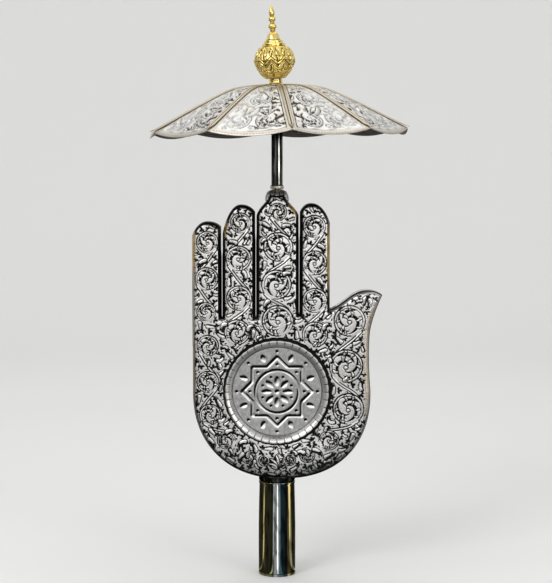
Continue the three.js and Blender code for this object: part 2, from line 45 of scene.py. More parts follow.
# Socket, collar and hand, in the CAD model's sizes
SOCKET_HEIGHT = 84.5
SOCKET_FOOT_RADIUS = 16.4
SOCKET_TOP_RADIUS = 15.2
SOCKET_WALL = 1.5
COLLAR_RADIUS = 16.1
COLLAR_BORE = 9
HALF_THICKNESS = 12
EDGE_INSET = 4.2
EDGE_DEPTH = 6
SEAM_GAP = 0.3
FIT = 0.3
PALM_BOTTOM = 87
PALM_CENTRE = (4.2, 165)
PALM_HALF_WIDTH = 78.5
PALM_TOP = 231
THUMB_ROOT = 219
THUMB_TIP = (92.6, 250.5)
THUMB_TOP = (77, 254.6)
THUMB_WEB = (48.4, 238.4)
FINGER_ROOT = 205
PINKY = dict(left=-74.5, right=-49.3, left_z=303, right_z=310.5, tip=(-61.2, 315))
RING = dict(left=-47.7, right=-19.3, left_z=305, right_z=323.5, tip=(-31.7, 329.8))
INDEX = dict(left=20.1, right=46.4, left_z=323.5, right_z=314, tip=(30, 331))
MIDDLE = dict(left=-18, right=18.9, shoulder=320.5, neck_half=8, neck=335, tip=339)

# Medallion: a little smaller and lower than in the CAD model, as the photograph has it
MEDALLION_Z = 165.1
MEDALLION_RADIUS = 39.5
MEDALLION_DEPTH = 3.2
PLATE_THICKNESS = 1.6
PLATE_LOW = HALF_THICKNESS - MEDALLION_DEPTH - PLATE_THICKNESS
BORDER_SLOPE = 4.6
BORDER_FLANGE = 1.1
BORDER_HEIGHT = 0.8
BORDER_LOBES = 40
BORDER_SWELL = 0.6
RECESS_RADIUS = MEDALLION_RADIUS + FIT + BORDER_SLOPE
MEDALLION_REACH = MEDALLION_RADIUS + BORDER_SLOPE + BORDER_FLANGE
STAR_POINTS = 8
STAR_RADIUS = 34
STAR_CHANNEL = 2.8
STAR_RING_RADIUS = 20.2
CHANNEL_DEPTH = 0.7
PETAL_ROOT = 4.8
PETAL_REACH = 15
NOTCH_DOT = (14.6, 1.7)  # distance from the middle, and radius
POINT_DOT = (25.6, 2.0)
RIM_DOT = (37.8, 1.9)
NOTCH_DROP = 30.2
STAR_SCALE = 1.06  # the star is drawn for a plate 84 mm across

# Cap, stem, umbrella and finial, in the CAD model's sizes
CAP_RADIUS = 10.8
CAP_TOP = 343.4
CAP_SKIRT = 333
CAP_FLUTES = 14
STEM_COLLAR_RADIUS = 6.3
STEM_COLLAR_HEIGHT = 3.2
STEM_RADIUS = 4.95
STEM_BORE = 3.1
ROD_RADIUS = 2.6
SEAT_TOP = 420
SEAT_RADIUS = 8.5
SEAT_HEIGHT = 3.5
CANOPY_LEAN = 1.0
GORES = 10
FIRST_SEAM = -84
TIP_RADIUS = 114.6
HEM_RADIUS = 111.5
CROWN_HEIGHT = 13.9
KNEE_RADIUS = 40
KNEE_SOFTNESS = 14
SLOPE = 0.52
HEM_DROP = 4.2
HEM_SAG = 1.9  # how much lower the embossed sheet hangs at the middle of its hem
SHEET = 1.2
RIB_WIDTH = 5
RIB_HEIGHT = 1.3
RIB_POINT = 1.6
RIB_POINT_LENGTH = 9
RIB_POINT_LIFT = 1.4
HUB_RADIUS = 8.8
HUB_BORE = 4.6
HUB_FLANGE_RADIUS = 15
HUB_FLANGE = 1.6
CROWN_DISC_RADIUS = 13
CROWN_DISC = 0.9
FINIAL_LEAN = 3.5
FOOT_RADIUS = 6.1
FOOT_HEIGHT = 3.9
TURN_FIT = 0.6
BALL_RADIUS = 17.9
BALL_EQUATOR = 34.7
BALL_UPPER = 15.4
BALL_LOWER = 18.4
BALL_WALL = 1.2
INSERT_RADIUS = 4.6
SHOULDER_RADIUS = 10.5
SHOULDER_STEP_RADIUS = 8.6
SHOULDER_HEIGHT = 5.4
SPIGOT_RADIUS = 3
BELL_RADIUS = 6.1
SPIRE_TOP = 83.2

# Relief of the chased silver
GROUND = -0.05  # the matted ground between the ornament
VINE = 0.7  # half width of a vine
LINE = 0.75  # width of the cut line along its sides
LINE_DEPTH = 0.65
EDGE_LINE = 1.9  # where the cut line along the hand's outline runs
SIDE_BORDER = 5.4  # plain border of a gore, beside its seams and over its hem
HEM_BORDER = 4.4
SIDE_LINE = 4.6  # where the cut lines inside that border run
HEM_LINE = 3.4
GORE_INK = 0.36
BALL_INK = 0.8
SCROLL_TURN = 0.88 * TAU  # how far round a scroll's vine goes
# Crescents of a scroll: place round it, inner end, sweep, width and the places of lobes
CRESCENTS = (
    (0.0, 0.12, 4.3, 0.95, (0.16, 0.34, 0.52, 0.7)),
    (0.36, 0.5, 1.9, 0.9, (0.2, 0.5)),
    (0.6, 0.34, 2.4, 0.7, (0.2, 0.5)),
    (0.82, 0.66, 1.0, 0.6, (0.2, 0.5)),
)

# Room and camera, in metres and degrees
FLOOR_RADIUS = 1.6
SWEEP_RADIUS = 0.9
WALL_TOP = 1.5
SENSOR = 36
FOCAL_PIXELS = 1600
PICTURE_HEIGHT = 583
CAMERA_AT = (-0.0009, -1.408, 0.377)
CAMERA_DIP = 5.03
WORLD_LIGHT = 0.65


# Numbers and curves

def unit(value):
    return np.clip(value, 0, 1)


def fade(value, zero_at, one_at):
    """0 at the first place and 1 at the second, with a straight rise between."""
    return unit((value - zero_at) / (one_at - zero_at))


def toward(angle):
    return np.array([math.cos(angle), math.sin(angle)])


def quadratic(a, b, c, steps=16):
    t = np.linspace(0, 1, steps + 1)[:, None]
    a, b, c = (np.array(p, float) for p in (a, b, c))
    return (1 - t) ** 2 * a + 2 * t * (1 - t) * b + t * t * c


def cubic(a, b, c, d, steps=24):
    t = np.linspace(0, 1, steps + 1)[:, None]
    a, b, c, d = (np.array(p, float) for p in (a, b, c, d))
    return (1 - t) ** 3 * a + 3 * t * (1 - t) ** 2 * b + 3 * t * t * (1 - t) * c + t ** 3 * d


def circle(radius, count, centre=(0, 0)):
    angle = np.arange(count) * TAU / count
    return np.column_stack([centre[0] + radius * np.cos(angle), centre[1] + radius * np.sin(angle)])


def closed(points):
    return np.vstack([points, points[:1]])


def spaced(points, step, is_ring=True):
    """The same line with points about a step apart."""
    ends = closed(points) if is_ring else np.asarray(points)
    lengths = np.hypot(*np.diff(ends, axis=0).T)
    ends = ends[np.append(True, lengths > 1e-6)]
    along = np.append(0, np.cumsum(lengths[lengths > 1e-6]))
    count = max(2, round(along[-1] / step))
    at = np.linspace(0, along[-1], count + 1)[: count if is_ring else count + 1]
    return np.column_stack([np.interp(at, along, ends[:, 0]), np.interp(at, along, ends[:, 1])])


# Outlines of the hand, each drawn in by an inset

def palm_outline(inset):
    half_width = PALM_HALF_WIDTH - inset
    half_height = PALM_CENTRE[1] - PALM_BOTTOM - inset
    left = PINKY["left"] + 0.2 + inset
    top = PALM_TOP - inset

    def heel(start, power):
        angle = start + np.linspace(0, math.pi / 2, 60)
        c, s = np.cos(angle), np.sin(angle)
        x = PALM_CENTRE[0] + half_width * np.sign(c) * np.abs(c) ** (2 / power)
        z = PALM_CENTRE[1] + half_height * np.sign(s) * np.abs(s) ** (2 / power)
        return np.column_stack([np.maximum(x, left), z])

    waist = PALM_CENTRE[0] + half_width - 1.8
    rise = THUMB_ROOT - PALM_CENTRE[1]
    root = (waist + 1.2, THUMB_ROOT)
    tip = (THUMB_TIP[0] - 1.25 * inset, THUMB_TIP[1] - 1.05 * inset)
    nail = THUMB_TOP[0] + 0.58 * (THUMB_TIP[0] - THUMB_TOP[0]) - 0.4 * inset
    thumb_top = (THUMB_TOP[0], THUMB_TOP[1] - inset)
    across = THUMB_TOP[0] - THUMB_WEB[0]
    web_z = THUMB_WEB[1] + 0.34 * (THUMB_TOP[1] - THUMB_WEB[1]) - inset
    heel_end = heel(1.5 * math.pi, 2.3)
    return np.vstack([
        [(left, top)],
        heel(math.pi, 2.2),
        heel_end,
        cubic(heel_end[-1], (waist, PALM_CENTRE[1] + 0.4 * rise),
              (waist - 0.4, PALM_CENTRE[1] + 0.75 * rise), root),
        quadratic(root, (waist + 3.6, THUMB_ROOT + 0.44 * (THUMB_TIP[1] - THUMB_ROOT)), tip),
        quadratic(tip, (nail, THUMB_TOP[1] + 0.8 - inset), thumb_top),
        cubic(thumb_top, (THUMB_TOP[0] - 0.38 * across, THUMB_TOP[1] - 1 - inset),
              (THUMB_TOP[0] - 0.6 * across, web_z), (THUMB_WEB[0], THUMB_WEB[1] - inset)),
        [(MIDDLE["right"] + 2, top + 3), (0, top)],
    ])


def finger_outline(left, right, left_z, right_z, tip):
    def outline(inset):
        low_x = left + inset
        high_x = right - inset
        top = (tip[0], tip[1] - inset)
        return np.vstack([
            [(low_x, FINGER_ROOT + inset), (high_x, FINGER_ROOT + inset)],
            quadratic((high_x, right_z - 0.7 * inset), (high_x - 0.35 * (high_x - tip[0]), top[1]), top),
            quadratic(top, (low_x + 0.35 * (tip[0] - low_x), top[1]), (low_x, left_z - 0.5 * inset)),
        ])
    return outline


def middle_outline(inset):
    low_x = MIDDLE["left"] + inset
    high_x = MIDDLE["right"] - inset
    neck_x = MIDDLE["neck_half"] - inset
    shoulder = MIDDLE["shoulder"] - 0.4 * inset
    neck = MIDDLE["neck"] - 0.6 * inset
    top = MIDDLE["tip"] - inset
    return np.vstack([
        [(low_x, FINGER_ROOT + inset), (high_x, FINGER_ROOT + inset)],
        cubic((high_x, shoulder), (high_x - 2.5, shoulder + 7), (neck_x + 3, neck - 5), (neck_x, neck)),
        [(neck_x * 0.8, top), (-neck_x * 0.8, top)],
        cubic((-neck_x, neck), (-neck_x - 3, neck - 5), (low_x + 2.5, shoulder + 7), (low_x, shoulder)),
    ])


OUTLINES = [
    palm_outline,
    finger_outline(**PINKY),
    finger_outline(**RING),
    middle_outline,
    finger_outline(**INDEX),
]


def signed_distance(points, ring):
    """Distance of each point from a closed line, positive inside it."""
    x, z = points[:, 0], points[:, 1]
    nearest = np.full(len(points), np.inf)
    inside = np.zeros(len(points), bool)
    for p, q in zip(ring, np.roll(ring, -1, axis=0)):
        dx, dz = q - p
        if dx * dx + dz * dz < 1e-12:
            continue
        t = unit(((x - p[0]) * dx + (z - p[1]) * dz) / (dx * dx + dz * dz))
        nearest = np.minimum(nearest, (x - p[0] - t * dx) ** 2 + (z - p[1] - t * dz) ** 2)
        if dz:
            crosses = (p[1] > z) != (q[1] > z)
            inside ^= crosses & (x < p[0] + (z - p[1]) * dx / dz)
    return np.where(inside, 1, -1) * np.sqrt(nearest)


def depth_in_hand(points):
    """How far inside the hand's outline each point lies."""
    return np.max([signed_distance(points, outline(0)) for outline in OUTLINES], axis=0)


def rounded_drop(depth):
    """How far the rounded edge falls below the face."""
    reach = unit(1 - depth / EDGE_INSET)
    return EDGE_DEPTH * (1 - np.sqrt(1 - reach * reach))


# A relief drawn with strokes on a fine grid

class Relief:
    """Heights in mm, and how dark each place is, on a square grid."""

    def __init__(self, low, high, pitch=0.25, ground=GROUND, depth_of_ink=1.0):
        self.low = np.array(low, float)
        self.pitch = pitch
        self.depth_of_ink = depth_of_ink
        columns, rows = np.ceil((np.array(high) - self.low) / pitch).astype(int) + 1
        self.height = np.full((rows, columns), float(ground))
        self.ink_and_shade = np.zeros((rows, columns))
        self.taken = np.zeros((rows, columns), bool)

    def grid(self):
        rows, columns = self.height.shape
        x = self.low[0] + np.arange(columns) * self.pitch
        z = self.low[1] + np.arange(rows) * self.pitch
        return np.meshgrid(x, z)

    def sample(self, field, x, z):
        u = np.clip((x - self.low[0]) / self.pitch, 0, field.shape[1] - 1.001)
        v = np.clip((z - self.low[1]) / self.pitch, 0, field.shape[0] - 1.001)
        i, j = u.astype(int), v.astype(int)
        u, v = u - i, v - j
        low = field[j, i] * (1 - u) + field[j, i + 1] * u
        high = field[j + 1, i] * (1 - u) + field[j + 1, i + 1] * u
        return low * (1 - v) + high * v

    def stroke(self, points, half, rise=0.3, line=LINE, ink_and_shade=0.0, keep=0.35):
        """A raised or sunk line with a width at each point, cut clear by a line round it."""
        points = np.asarray(points, float)
        half = np.broadcast_to(np.asarray(half, float), len(points))
        reach = half.max() + line + keep + self.pitch
        low = np.floor((points.min(0) - reach - self.low) / self.pitch).astype(int)
        high = np.ceil((points.max(0) + reach - self.low) / self.pitch).astype(int) + 1
        low, high = np.maximum(low, 0), np.minimum(high, self.height.shape[::-1])
        if (high <= low).any():
            return
        x = (self.low[0] + np.arange(low[0], high[0]) * self.pitch)[None, :]
        z = (self.low[1] + np.arange(low[1], high[1]) * self.pitch)[:, None]
        gap = np.full((z.size, x.size), np.inf)
        for p, q, wide, next_wide in zip(points, points[1:], half, half[1:]):
            dx, dz = q - p
            t = unit(((x - p[0]) * dx + (z - p[1]) * dz) / max(dx * dx + dz * dz, 1e-9))
            away = np.hypot(x - p[0] - t * dx, z - p[1] - t * dz)
            gap = np.minimum(gap, away - wide - t * (next_wide - wide))
        window = slice(low[1], high[1]), slice(low[0], high[0])
        inside = gap < 0
        crown = rise * (1 - unit(1 + gap / half.max()) ** 2)
        height, shade = self.height[window], self.ink_and_shade[window]
        height[inside] = crown[inside]
        shade[inside] = ink_and_shade
        if line:
            cut = (gap >= 0) & (gap < line)
            deep = np.sqrt(unit(np.sin(math.pi * gap / line)))
            height[cut] = np.minimum(height[cut], -LINE_DEPTH * deep[cut])
            shade[cut] = np.maximum(shade[cut], self.depth_of_ink * deep[cut])
        self.taken[window] |= gap < line + keep

    def dot(self, at, half, **style):
        self.stroke([at, at + 0.01], half, **style)

    def bent(self, x, z, angle, length, curl, steps=9):
        """Points and headings along a line that curls as it goes."""
        heading = angle + curl * np.linspace(0, 1, steps)
        step = length / (steps - 1)
        xs = x + np.append(0, np.cumsum(np.cos(heading[1:]) * step))
        zs = z + np.append(0, np.cumsum(np.sin(heading[1:]) * step))
        return np.column_stack([xs, zs]), heading

    def cut(self, points, half, keep=0.3):
        """A dark sunk line that swells and thins with its half width."""
        self.stroke(points, half, rise=-0.7, line=0, ink_and_shade=self.depth_of_ink, keep=keep)

    def lobe(self, x, z, angle, length, curl, fat=0.2, line=0.45, keep=0.35, shade=0.13):
        """A comma: thin at its root, with a round end that curls over, and dark along one side."""
        points, heading = self.bent(x, z, angle, length * 0.85, curl)
        t = np.linspace(0, 1, len(points))
        half = fat * length * (0.22 + 0.78 * t ** 0.8)
        turn = heading.mean() + math.copysign(math.pi / 2, curl)
        # The dark sunk cut is pushed downwards as well as aside: a real cut, placed as a painted shadow
        # under the lobe
        aside = shade * length * (toward(turn) - (0, 0.4))
        self.cut(points + aside, half + 0.15, keep)
        self.stroke(points, half, rise=0.45, line=line, keep=keep)

    def trefoil(self, x, z, angle, size, keep=1.1):
        """Three dark drops that spread from one root."""
        for turn, share in ((-1.05, 0.8), (0.0, 1.0), (1.05, 0.8)):
            along = np.linspace(0.12, 0.12 + 0.5 * share, 4)[:, None]
            points = np.array([x, z]) + size * toward(angle + turn) * along
            self.cut(points, size * share * np.array([0.05, 0.15, 0.19, 0.1]), keep)

    def leaf(self, x, z, angle, length, curl, fat=0.24, line=0.6):
        """A pointed leaf. A long one has a cut midrib and a dark drop at its inner side."""
        points, heading = self.bent(x, z, angle, length, curl)
        t = np.linspace(0, 1, len(points))
        half = fat * length * np.sin(math.pi * unit(0.1 + 0.9 * t) ** 0.8) + 0.1
        self.stroke(points, half, rise=0.5, line=line)
        if length > 3.4:
            self.stroke(points[1:6], 0.16, rise=-0.3, line=0, ink_and_shade=0.85, keep=0)
            root = points[5] + 0.35 * half[5] * toward(heading[4] + math.copysign(math.pi / 2, curl))
            t = np.linspace(0, 1, 5)
            drop = root + 0.3 * length * t[:, None] * toward(heading[5])
            self.stroke(drop, 0.1 * length * (1 - 0.85 * t), rise=-0.8, line=0,
                        ink_and_shade=self.depth_of_ink, keep=0.25)

    def scroll(self, x, z, radius, hand, start):
        """A vine round a whirl of leaves: dark crescents of uneven size, with bright lobes.

        hand is 1 or -1, the way it turns."""
        rng = np.random.default_rng(int(abs(x * 31 + z * 17)))
        scale = min(1.2, max(0.7, radius / 11))
        core = radius - 1.9 * scale
        centre = np.array([x, z])

        def spiral(first, last, turn_by, from_angle, power=1.0, count=20):
            t = np.linspace(0, 1, count)
            angle = from_angle + hand * turn_by * t
            reach = first + (last - first) * t ** power
            return centre + reach[:, None] * np.column_stack([np.cos(angle), np.sin(angle)]), angle, t

        self.dot(centre, radius, rise=0.2, line=0, keep=0.3)
        at = start + hand * SCROLL_TURN + hand * 0.1
        for share, inner_end, sweep, width, lobe_places in CRESCENTS:
            first = at + hand * (share * TAU + rng.uniform(-0.18, 0.18))
            last = inner_end * rng.uniform(0.85, 1.15)
            turn_by = sweep * rng.uniform(0.9, 1.1)
            path, angle, t = spiral(0.95 * core, last * core, turn_by, first, 0.85)
            wide = width * rng.uniform(0.85, 1.15) * scale
            self.cut(path, 0.2 + wide * np.sin(math.pi * t ** 0.7) ** 1.2)
            for along in lobe_places:
                i = int(along * len(t))
                inward = angle[i] + math.pi - hand * rng.uniform(0.5, 1.0)
                root = path[i] + 0.12 * core * toward(inward)
                length = rng.uniform(0.3, 0.42) * core
                self.lobe(*root, inward + math.pi + hand * 0.9, length, hand * 0.8,
                          fat=0.3, line=0.3 * scale, keep=0, shade=0.1)
        self.dot(centre + 0.1 * core * toward(at), 0.13 * core, rise=0.5, line=0.5 * scale, keep=0)
        for reach, half in ((radius, 0.45), (core, 0.2)):
            line, _, t = spiral(reach, 0.95 * reach, SCROLL_TURN, start, count=40)
            self.cut(line, half * scale * (0.55 + 0.45 * np.sin(math.pi * t)))

    def vine(self, start, start_way, end, end_way):
        """A curved vine from one place and heading to another."""
        pull = 0.42 * np.hypot(*(end - start))
        points = cubic(start, start + pull * toward(start_way), end - pull * toward(end_way), end)
        self.stroke(points, VINE, rise=0.35)

    def chain(self, scrolls, hand):
        """A running stem that weaves up through a row of scrolls, which turn by turns."""
        centres = [np.array(s[:2], float) for s in scrolls]
        links = []
        turning = []
        last = None
        for k, (x, z, radius) in enumerate(scrolls):
            step = centres[min(k + 1, len(centres) - 1)] - centres[max(k - 1, 0)]
            way = math.atan2(step[1], step[0])
            start = way + hand * 2.2
            if last:
                links.append((*last, centres[k] + radius * toward(start), start - hand * math.pi / 2))
            leave = way + hand * 0.75
            last = (centres[k] + radius * 0.97 * toward(leave), leave - hand * math.pi / 2)
            turning.append((x, z, radius, -hand, start))
            hand = -hand
        for link in links:
            self.vine(*link)
        for scroll in turning:
            self.scroll(*scroll)

    def fill(self, sizes, seed, step=0.75):
        """Lobes, trefoils and cuts wherever there is still room, the largest first."""
        rng = np.random.default_rng(seed)
        rows, columns = self.taken.shape
        skip = int(step / self.pitch)
        for length in sizes:
            places = np.argwhere(~self.taken[::skip, ::skip]) * skip
            rng.shuffle(places)
            angles = rng.uniform(0, TAU, len(places))
            along, side = np.meshgrid(np.arange(0, length + 0.01, 0.5), (-0.2 * length, 0, 0.2 * length))
            along, side = along.ravel(), side.ravel()
            for (j, i), angle in zip(places, angles):
                if self.taken[j, i]:
                    continue
                for way in (angle, angle + 2.1, angle + 4.2):
                    u = along * math.cos(way) + side * math.sin(way)
                    v = along * math.sin(way) - side * math.cos(way)
                    ii = i + np.round(u / self.pitch).astype(int)
                    jj = j + np.round(v / self.pitch).astype(int)
                    if ii.min() < 0 or jj.min() < 0 or ii.max() >= columns or jj.max() >= rows:
                        continue
                    if self.taken[jj, ii].any():
                        continue
                    x, z = self.low + self.pitch * np.array([i, j])
                    self.ornament(x, z, way, length, rng.uniform(-1.4, 1.4))
                    break

    def ornament(self, x, z, way, length, curl):
        if length > 7:
            self.lobe(x, z, way, 0.9 * length, 1.5 * curl, 0.17)
            self.trefoil(x, z, way + math.copysign(1.3, curl), 0.45 * length, 0.5)
        elif length > 4:
            self.trefoil(x, z, way, 1.05 * length)
        else:
            at = np.array([x, z])
            self.cut([at, at + 0.6 * length * toward(way)], [0.18 * length, 0.07], keep=0.9)


# Meshes

OTHER_WAY = [0, 3, 2, 1]  # turns a face over and keeps its first corner


def new_item(name, data, matrix=None):
    item = bpy.data.objects.new(name, data)
    bpy.context.scene.collection.objects.link(item)
    if matrix is not None:
        item.matrix_world = matrix
    return item


def place(name, mesh, body, node, matrix=None):
    item = new_item(name, mesh, matrix)
    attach(item, body)
    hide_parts(node)
    return item


def add_object(name, vertices, faces, body, node, material, matrix=None, marks=None, sharp=40):
    """A smooth closed piece, in place of a CAD node, riding on that node's body."""
    mesh = bpy.data.meshes.new(name)
    points = np.asarray(vertices, float) * MM
    if isinstance(faces, np.ndarray):
        mesh.vertices.add(len(points))
        mesh.vertices.foreach_set("co", points.ravel())
        mesh.loops.add(faces.size)
        mesh.loops.foreach_set("vertex_index", faces.ravel().astype(np.int32))
        mesh.polygons.add(len(faces))
        mesh.polygons.foreach_set("loop_start", np.arange(len(faces), dtype=np.int32) * faces.shape[1])
        mesh.update(calc_edges=True)
    else:
        mesh.from_pydata(points.tolist(), [], faces)
    mesh.validate()
    mesh.polygons.foreach_set("use_smooth", np.ones(len(mesh.polygons), bool))
    mesh.set_sharp_from_angle(angle=math.radians(sharp))
    for mark, values in (marks or {}).items():
        layer = mesh.attributes.new(mark, "FLOAT", "POINT")
        layer.data.foreach_set("value", np.asarray(values, np.float32).ravel())
    mesh.materials.append(material)
    return place(name, mesh, body, node, matrix)


def grid_faces(rows, columns, rows_close=True, columns_close=True):
    """Four-sided faces between the points of a grid that is stored row by row."""
    last_row, last_column = rows - (not rows_close), columns - (not columns_close)
    i, k = np.meshgrid(np.arange(last_row), np.arange(last_column), indexing="ij")
    j, m = (i + 1) % rows, (k + 1) % columns
    corners = [i * columns + k, i * columns + m, j * columns + m, j * columns + k]
    return np.stack(corners, -1).reshape(-1, 4)


def wall_faces(upper, lower):
    """Four-sided faces between two closed rows of points."""
    n = len(upper)
    return [(upper[(i + 1) % n], upper[i], lower[i], lower[(i + 1) % n]) for i in range(n)]


def revolved(radii, heights, count):
    """The points of rings, ring by ring. A radius may change along its ring."""
    angle = np.arange(count) * TAU / count
    radii = np.reshape(radii, (len(heights), -1))
    heights = np.repeat(np.reshape(heights, (-1, 1)), count, axis=1)
    return np.stack([radii * np.cos(angle), radii * np.sin(angle), heights], -1).reshape(-1, 3)


def eased(profile, radius=0.4, steps=3):
    """A turned outline with its corners rounded."""
    points = np.array(profile, float)
    result = [points[0]]
    for before, corner, after in zip(points, points[1:], points[2:]):
        to, away = before - corner, after - corner
        a, b = np.hypot(*to), np.hypot(*away)
        r = min(radius, 0.45 * a, 0.45 * b)
        result.extend(quadratic(corner + to / a * r, corner, corner + away / b * r, steps))
    return np.array([*result, points[-1]])


def turn(profile, count):
    """Vertices and faces of a turned piece: its outline starts and ends on the axis or closes."""
    profile = np.asarray(profile, float)
    on_axis = profile[0, 0] < 1e-6
    ring = profile[1:-1] if on_axis else profile
    rows = len(ring)
    vertices = revolved(ring[:, 0], ring[:, 1], count)
    faces = grid_faces(rows, count, rows_close=not on_axis)
    if not on_axis:
        return vertices, faces
    low, high = len(vertices), len(vertices) + 1
    vertices = np.vstack([vertices, [[0, 0, profile[0, 1]], [0, 0, profile[-1, 1]]]])
    last = (rows - 1) * count
    fans = [(low, (c + 1) % count, c) for c in range(count)]
    fans += [(high, last + c, last + (c + 1) % count) for c in range(count)]
    return vertices, [*faces.tolist(), *fans]


def turned(name, profile, node, body, material, matrix=None, count=96, radius=0.4):
    vertices, faces = turn(eased(profile, radius), count)
    return add_object(name, vertices, faces, body, node, material, matrix)


# Materials

def grey(value):
    return value, value, value


class Look:
    """A material, with the nodes that feed its shader. Colours are red, green and blue."""

    def __init__(self, name, metallic=1.0):
        self.material = bpy.data.materials.new(name)
        self.material.use_nodes = True
        self.tree = self.material.node_tree
        self.shader = self.tree.nodes["Principled BSDF"]
        self.feed(self.shader, {"Metallic": metallic})

    def feed(self, node, inputs):
        """Sets a node's inputs, each to a value or to the output of another node."""
        for key, value in inputs.items():
            socket = node.inputs[key]
            if isinstance(value, bpy.types.NodeSocket):
                self.tree.links.new(value, socket)
            else:
                socket.default_value = (*value, 1) if socket.type == "RGBA" else value

    def node(self, kind, inputs=None, **settings):
        node = self.tree.nodes.new("ShaderNode" + kind)
        for key, value in settings.items():
            setattr(node, key, value)
        self.feed(node, inputs or {})
        return node

    def mix(self, factor, a, b, blend="MIX"):
        return self.node("Mix", {0: factor, 6: a, 7: b}, data_type="RGBA", blend_type=blend).outputs[2]

    def ramp(self, factor, stops):
        node = self.node("ValToRGB", {0: factor})
        elements = node.color_ramp.elements
        for element, (position, colour) in zip(list(elements), (stops[0], stops[-1])):
            element.position = position
            element.color = (*colour, 1)
        for position, colour in stops[1:-1]:
            elements.new(position).color = (*colour, 1)
        return node.outputs[0]

    def greys(self, factor, low_at, high_at, low=0.0, high=1.0):
        return self.ramp(factor, [(low_at, grey(low)), (high_at, grey(high))])

    def noise(self, scale, detail=3.0, stretch=(1, 1, 1)):
        """Noise in the object's own metres, drawn out along an axis by a stretch below 1."""
        place_at = self.node("TexCoord").outputs["Object"]
        mapped = self.node("Mapping", {"Vector": place_at, "Scale": stretch}).outputs[0]
        return self.node("TexNoise", {"Vector": mapped, "Scale": scale, "Detail": detail}).outputs[0]

    def mark(self, name):
        return self.node("Attribute", attribute_name=name).outputs["Fac"]


# Teal-black mixed in as a tarnished tone and as painted shade
TARNISH_AND_SHADE = ((0.035, 0.05, 0.052), (0.15, 0.155, 0.13))
RUBBED_BRASS = ((0.42, 0.26, 0.07), (0.62, 0.47, 0.2))
# Near-white painted highlight
PAINTED_HIGHLIGHT = (0.96, 0.96, 0.95)
# Near-black: dark recesses and painted shade on silver, and the collar's polish
NEAR_BLACK = (0.012, 0.013, 0.012)
# Colours of the bands of painted reflection across the socket and stem
OLIVE = (0.17, 0.17, 0.09)
BLACK = (0.07, 0.07, 0.06)
TEAL = (0.08, 0.17, 0.2)
STEEL = (0.52, 0.55, 0.56)
GOLD = (0.68, 0.54, 0.22)
PAINTED_EDGE_GLEAM = (0.45, 0.42, 0.26)
STEM_PAINTED_HIGHLIGHT = (0.55, 0.55, 0.52)
WANDER = 0.0025  # how far, in metres, the streaks of a tube stray


def chased_silver(name, bright, warm, dark, roughness, ground_scale=900.0, stipple=0.12, clouds=38.0):
    """Silver with dark recesses and painted shade, brass at rubbed edges, a tarnished tone that also
    serves as painted shade, a painted highlight, and a matted fine ground.
    """
    look = Look(name)
    grain = look.noise(ground_scale, 2.0)
    stain = look.greys(look.noise(120.0), 0.35, 0.75)
    silver = look.mix(look.greys(look.noise(clouds), 0.3, 0.7), bright, warm)
    silver = look.mix(look.mark("tarnish_and_shade"), silver, look.mix(stain, *TARNISH_AND_SHADE))
    silver = look.mix(look.mark("brass"), silver, look.mix(stain, *RUBBED_BRASS))
    silver = look.mix(look.mark("painted_highlight"), silver, PAINTED_HIGHLIGHT)
    shade = look.ramp(look.mark("ink_and_shade"), [(0.0, grey(0)), (0.2, grey(0.3)), (0.6, grey(1))])
    rough = look.greys(grain, 0.3, 0.75, roughness * 0.75, roughness * 1.35)
    bump = look.node("Bump", {"Strength": stipple, "Distance": 0.0001, "Height": grain})
    look.feed(look.shader, {
        "Base Color": look.mix(shade, silver, dark),
        "Roughness": look.mix(shade, rough, grey(0.6)),
        "Normal": bump.outputs[0],
    })
    return look.material


def polished(look, colour, edge, roughness):
    """Finishes a polished metal, with fine spots in its gloss."""
    rough = look.greys(look.noise(700.0), 0.35, 0.8, roughness * 0.7, roughness * 1.8)
    look.feed(look.shader, {"Base Color": colour, "Roughness": rough, "Specular Tint": edge})
    return look.material


def dark_polish(name, first, last, edge, roughness):
    """Polished metal that has darkened, with long tarnished streaks down the tube."""
    look = Look(name)
    streak = look.noise(190.0, 2.0, (1, 1, 0.03))
    return polished(look, look.ramp(streak, [(0.3, first), (0.7, last)]), edge, roughness)


def tube_with_painted_reflections(name, half_width, stops, edge, roughness):
    """Polished metal with reflections painted into its colour, which changes across the tube, broken into
    long tarnished streaks.
    """
    look = Look(name)
    across = look.node("SeparateXYZ", {0: look.node("TexCoord").outputs["Object"]}).outputs["X"]
    wander = look.noise(60.0, 2.0, (1, 1, 0.15))
    shift = look.node("Math", {0: wander, 1: WANDER}, operation="MULTIPLY").outputs[0]
    moved = look.node("Math", {0: across, 1: shift}).outputs[0]
    share = look.node("MapRange", {"Value": moved, "From Min": WANDER / 2 - half_width,
                                   "From Max": WANDER / 2 + half_width}).outputs[0]
    streak = look.greys(look.noise(300.0, 4.0, (1, 1, 0.2)), 0.4, 0.54, 0.12)
    colour = look.mix(0.75, look.ramp(share, stops), streak, "MULTIPLY")
    return polished(look, colour, edge, roughness)


def gilding(name, bright, deep, dark, roughness):
    """Gilding darkened in its recesses and where shade is painted, with a little wear."""
    look = Look(name)
    gold = look.mix(look.greys(look.noise(160.0), 0.35, 0.7), bright, deep)
    shade = look.greys(look.mark("ink_and_shade"), 0.1, 0.8)
    rough = look.greys(look.noise(900.0), 0.3, 0.75, roughness * 0.7, roughness * 1.5)
    look.feed(look.shader, {
        "Base Color": look.mix(shade, gold, dark),
        "Roughness": look.mix(shade, rough, grey(0.55)),
    })
    return look.material


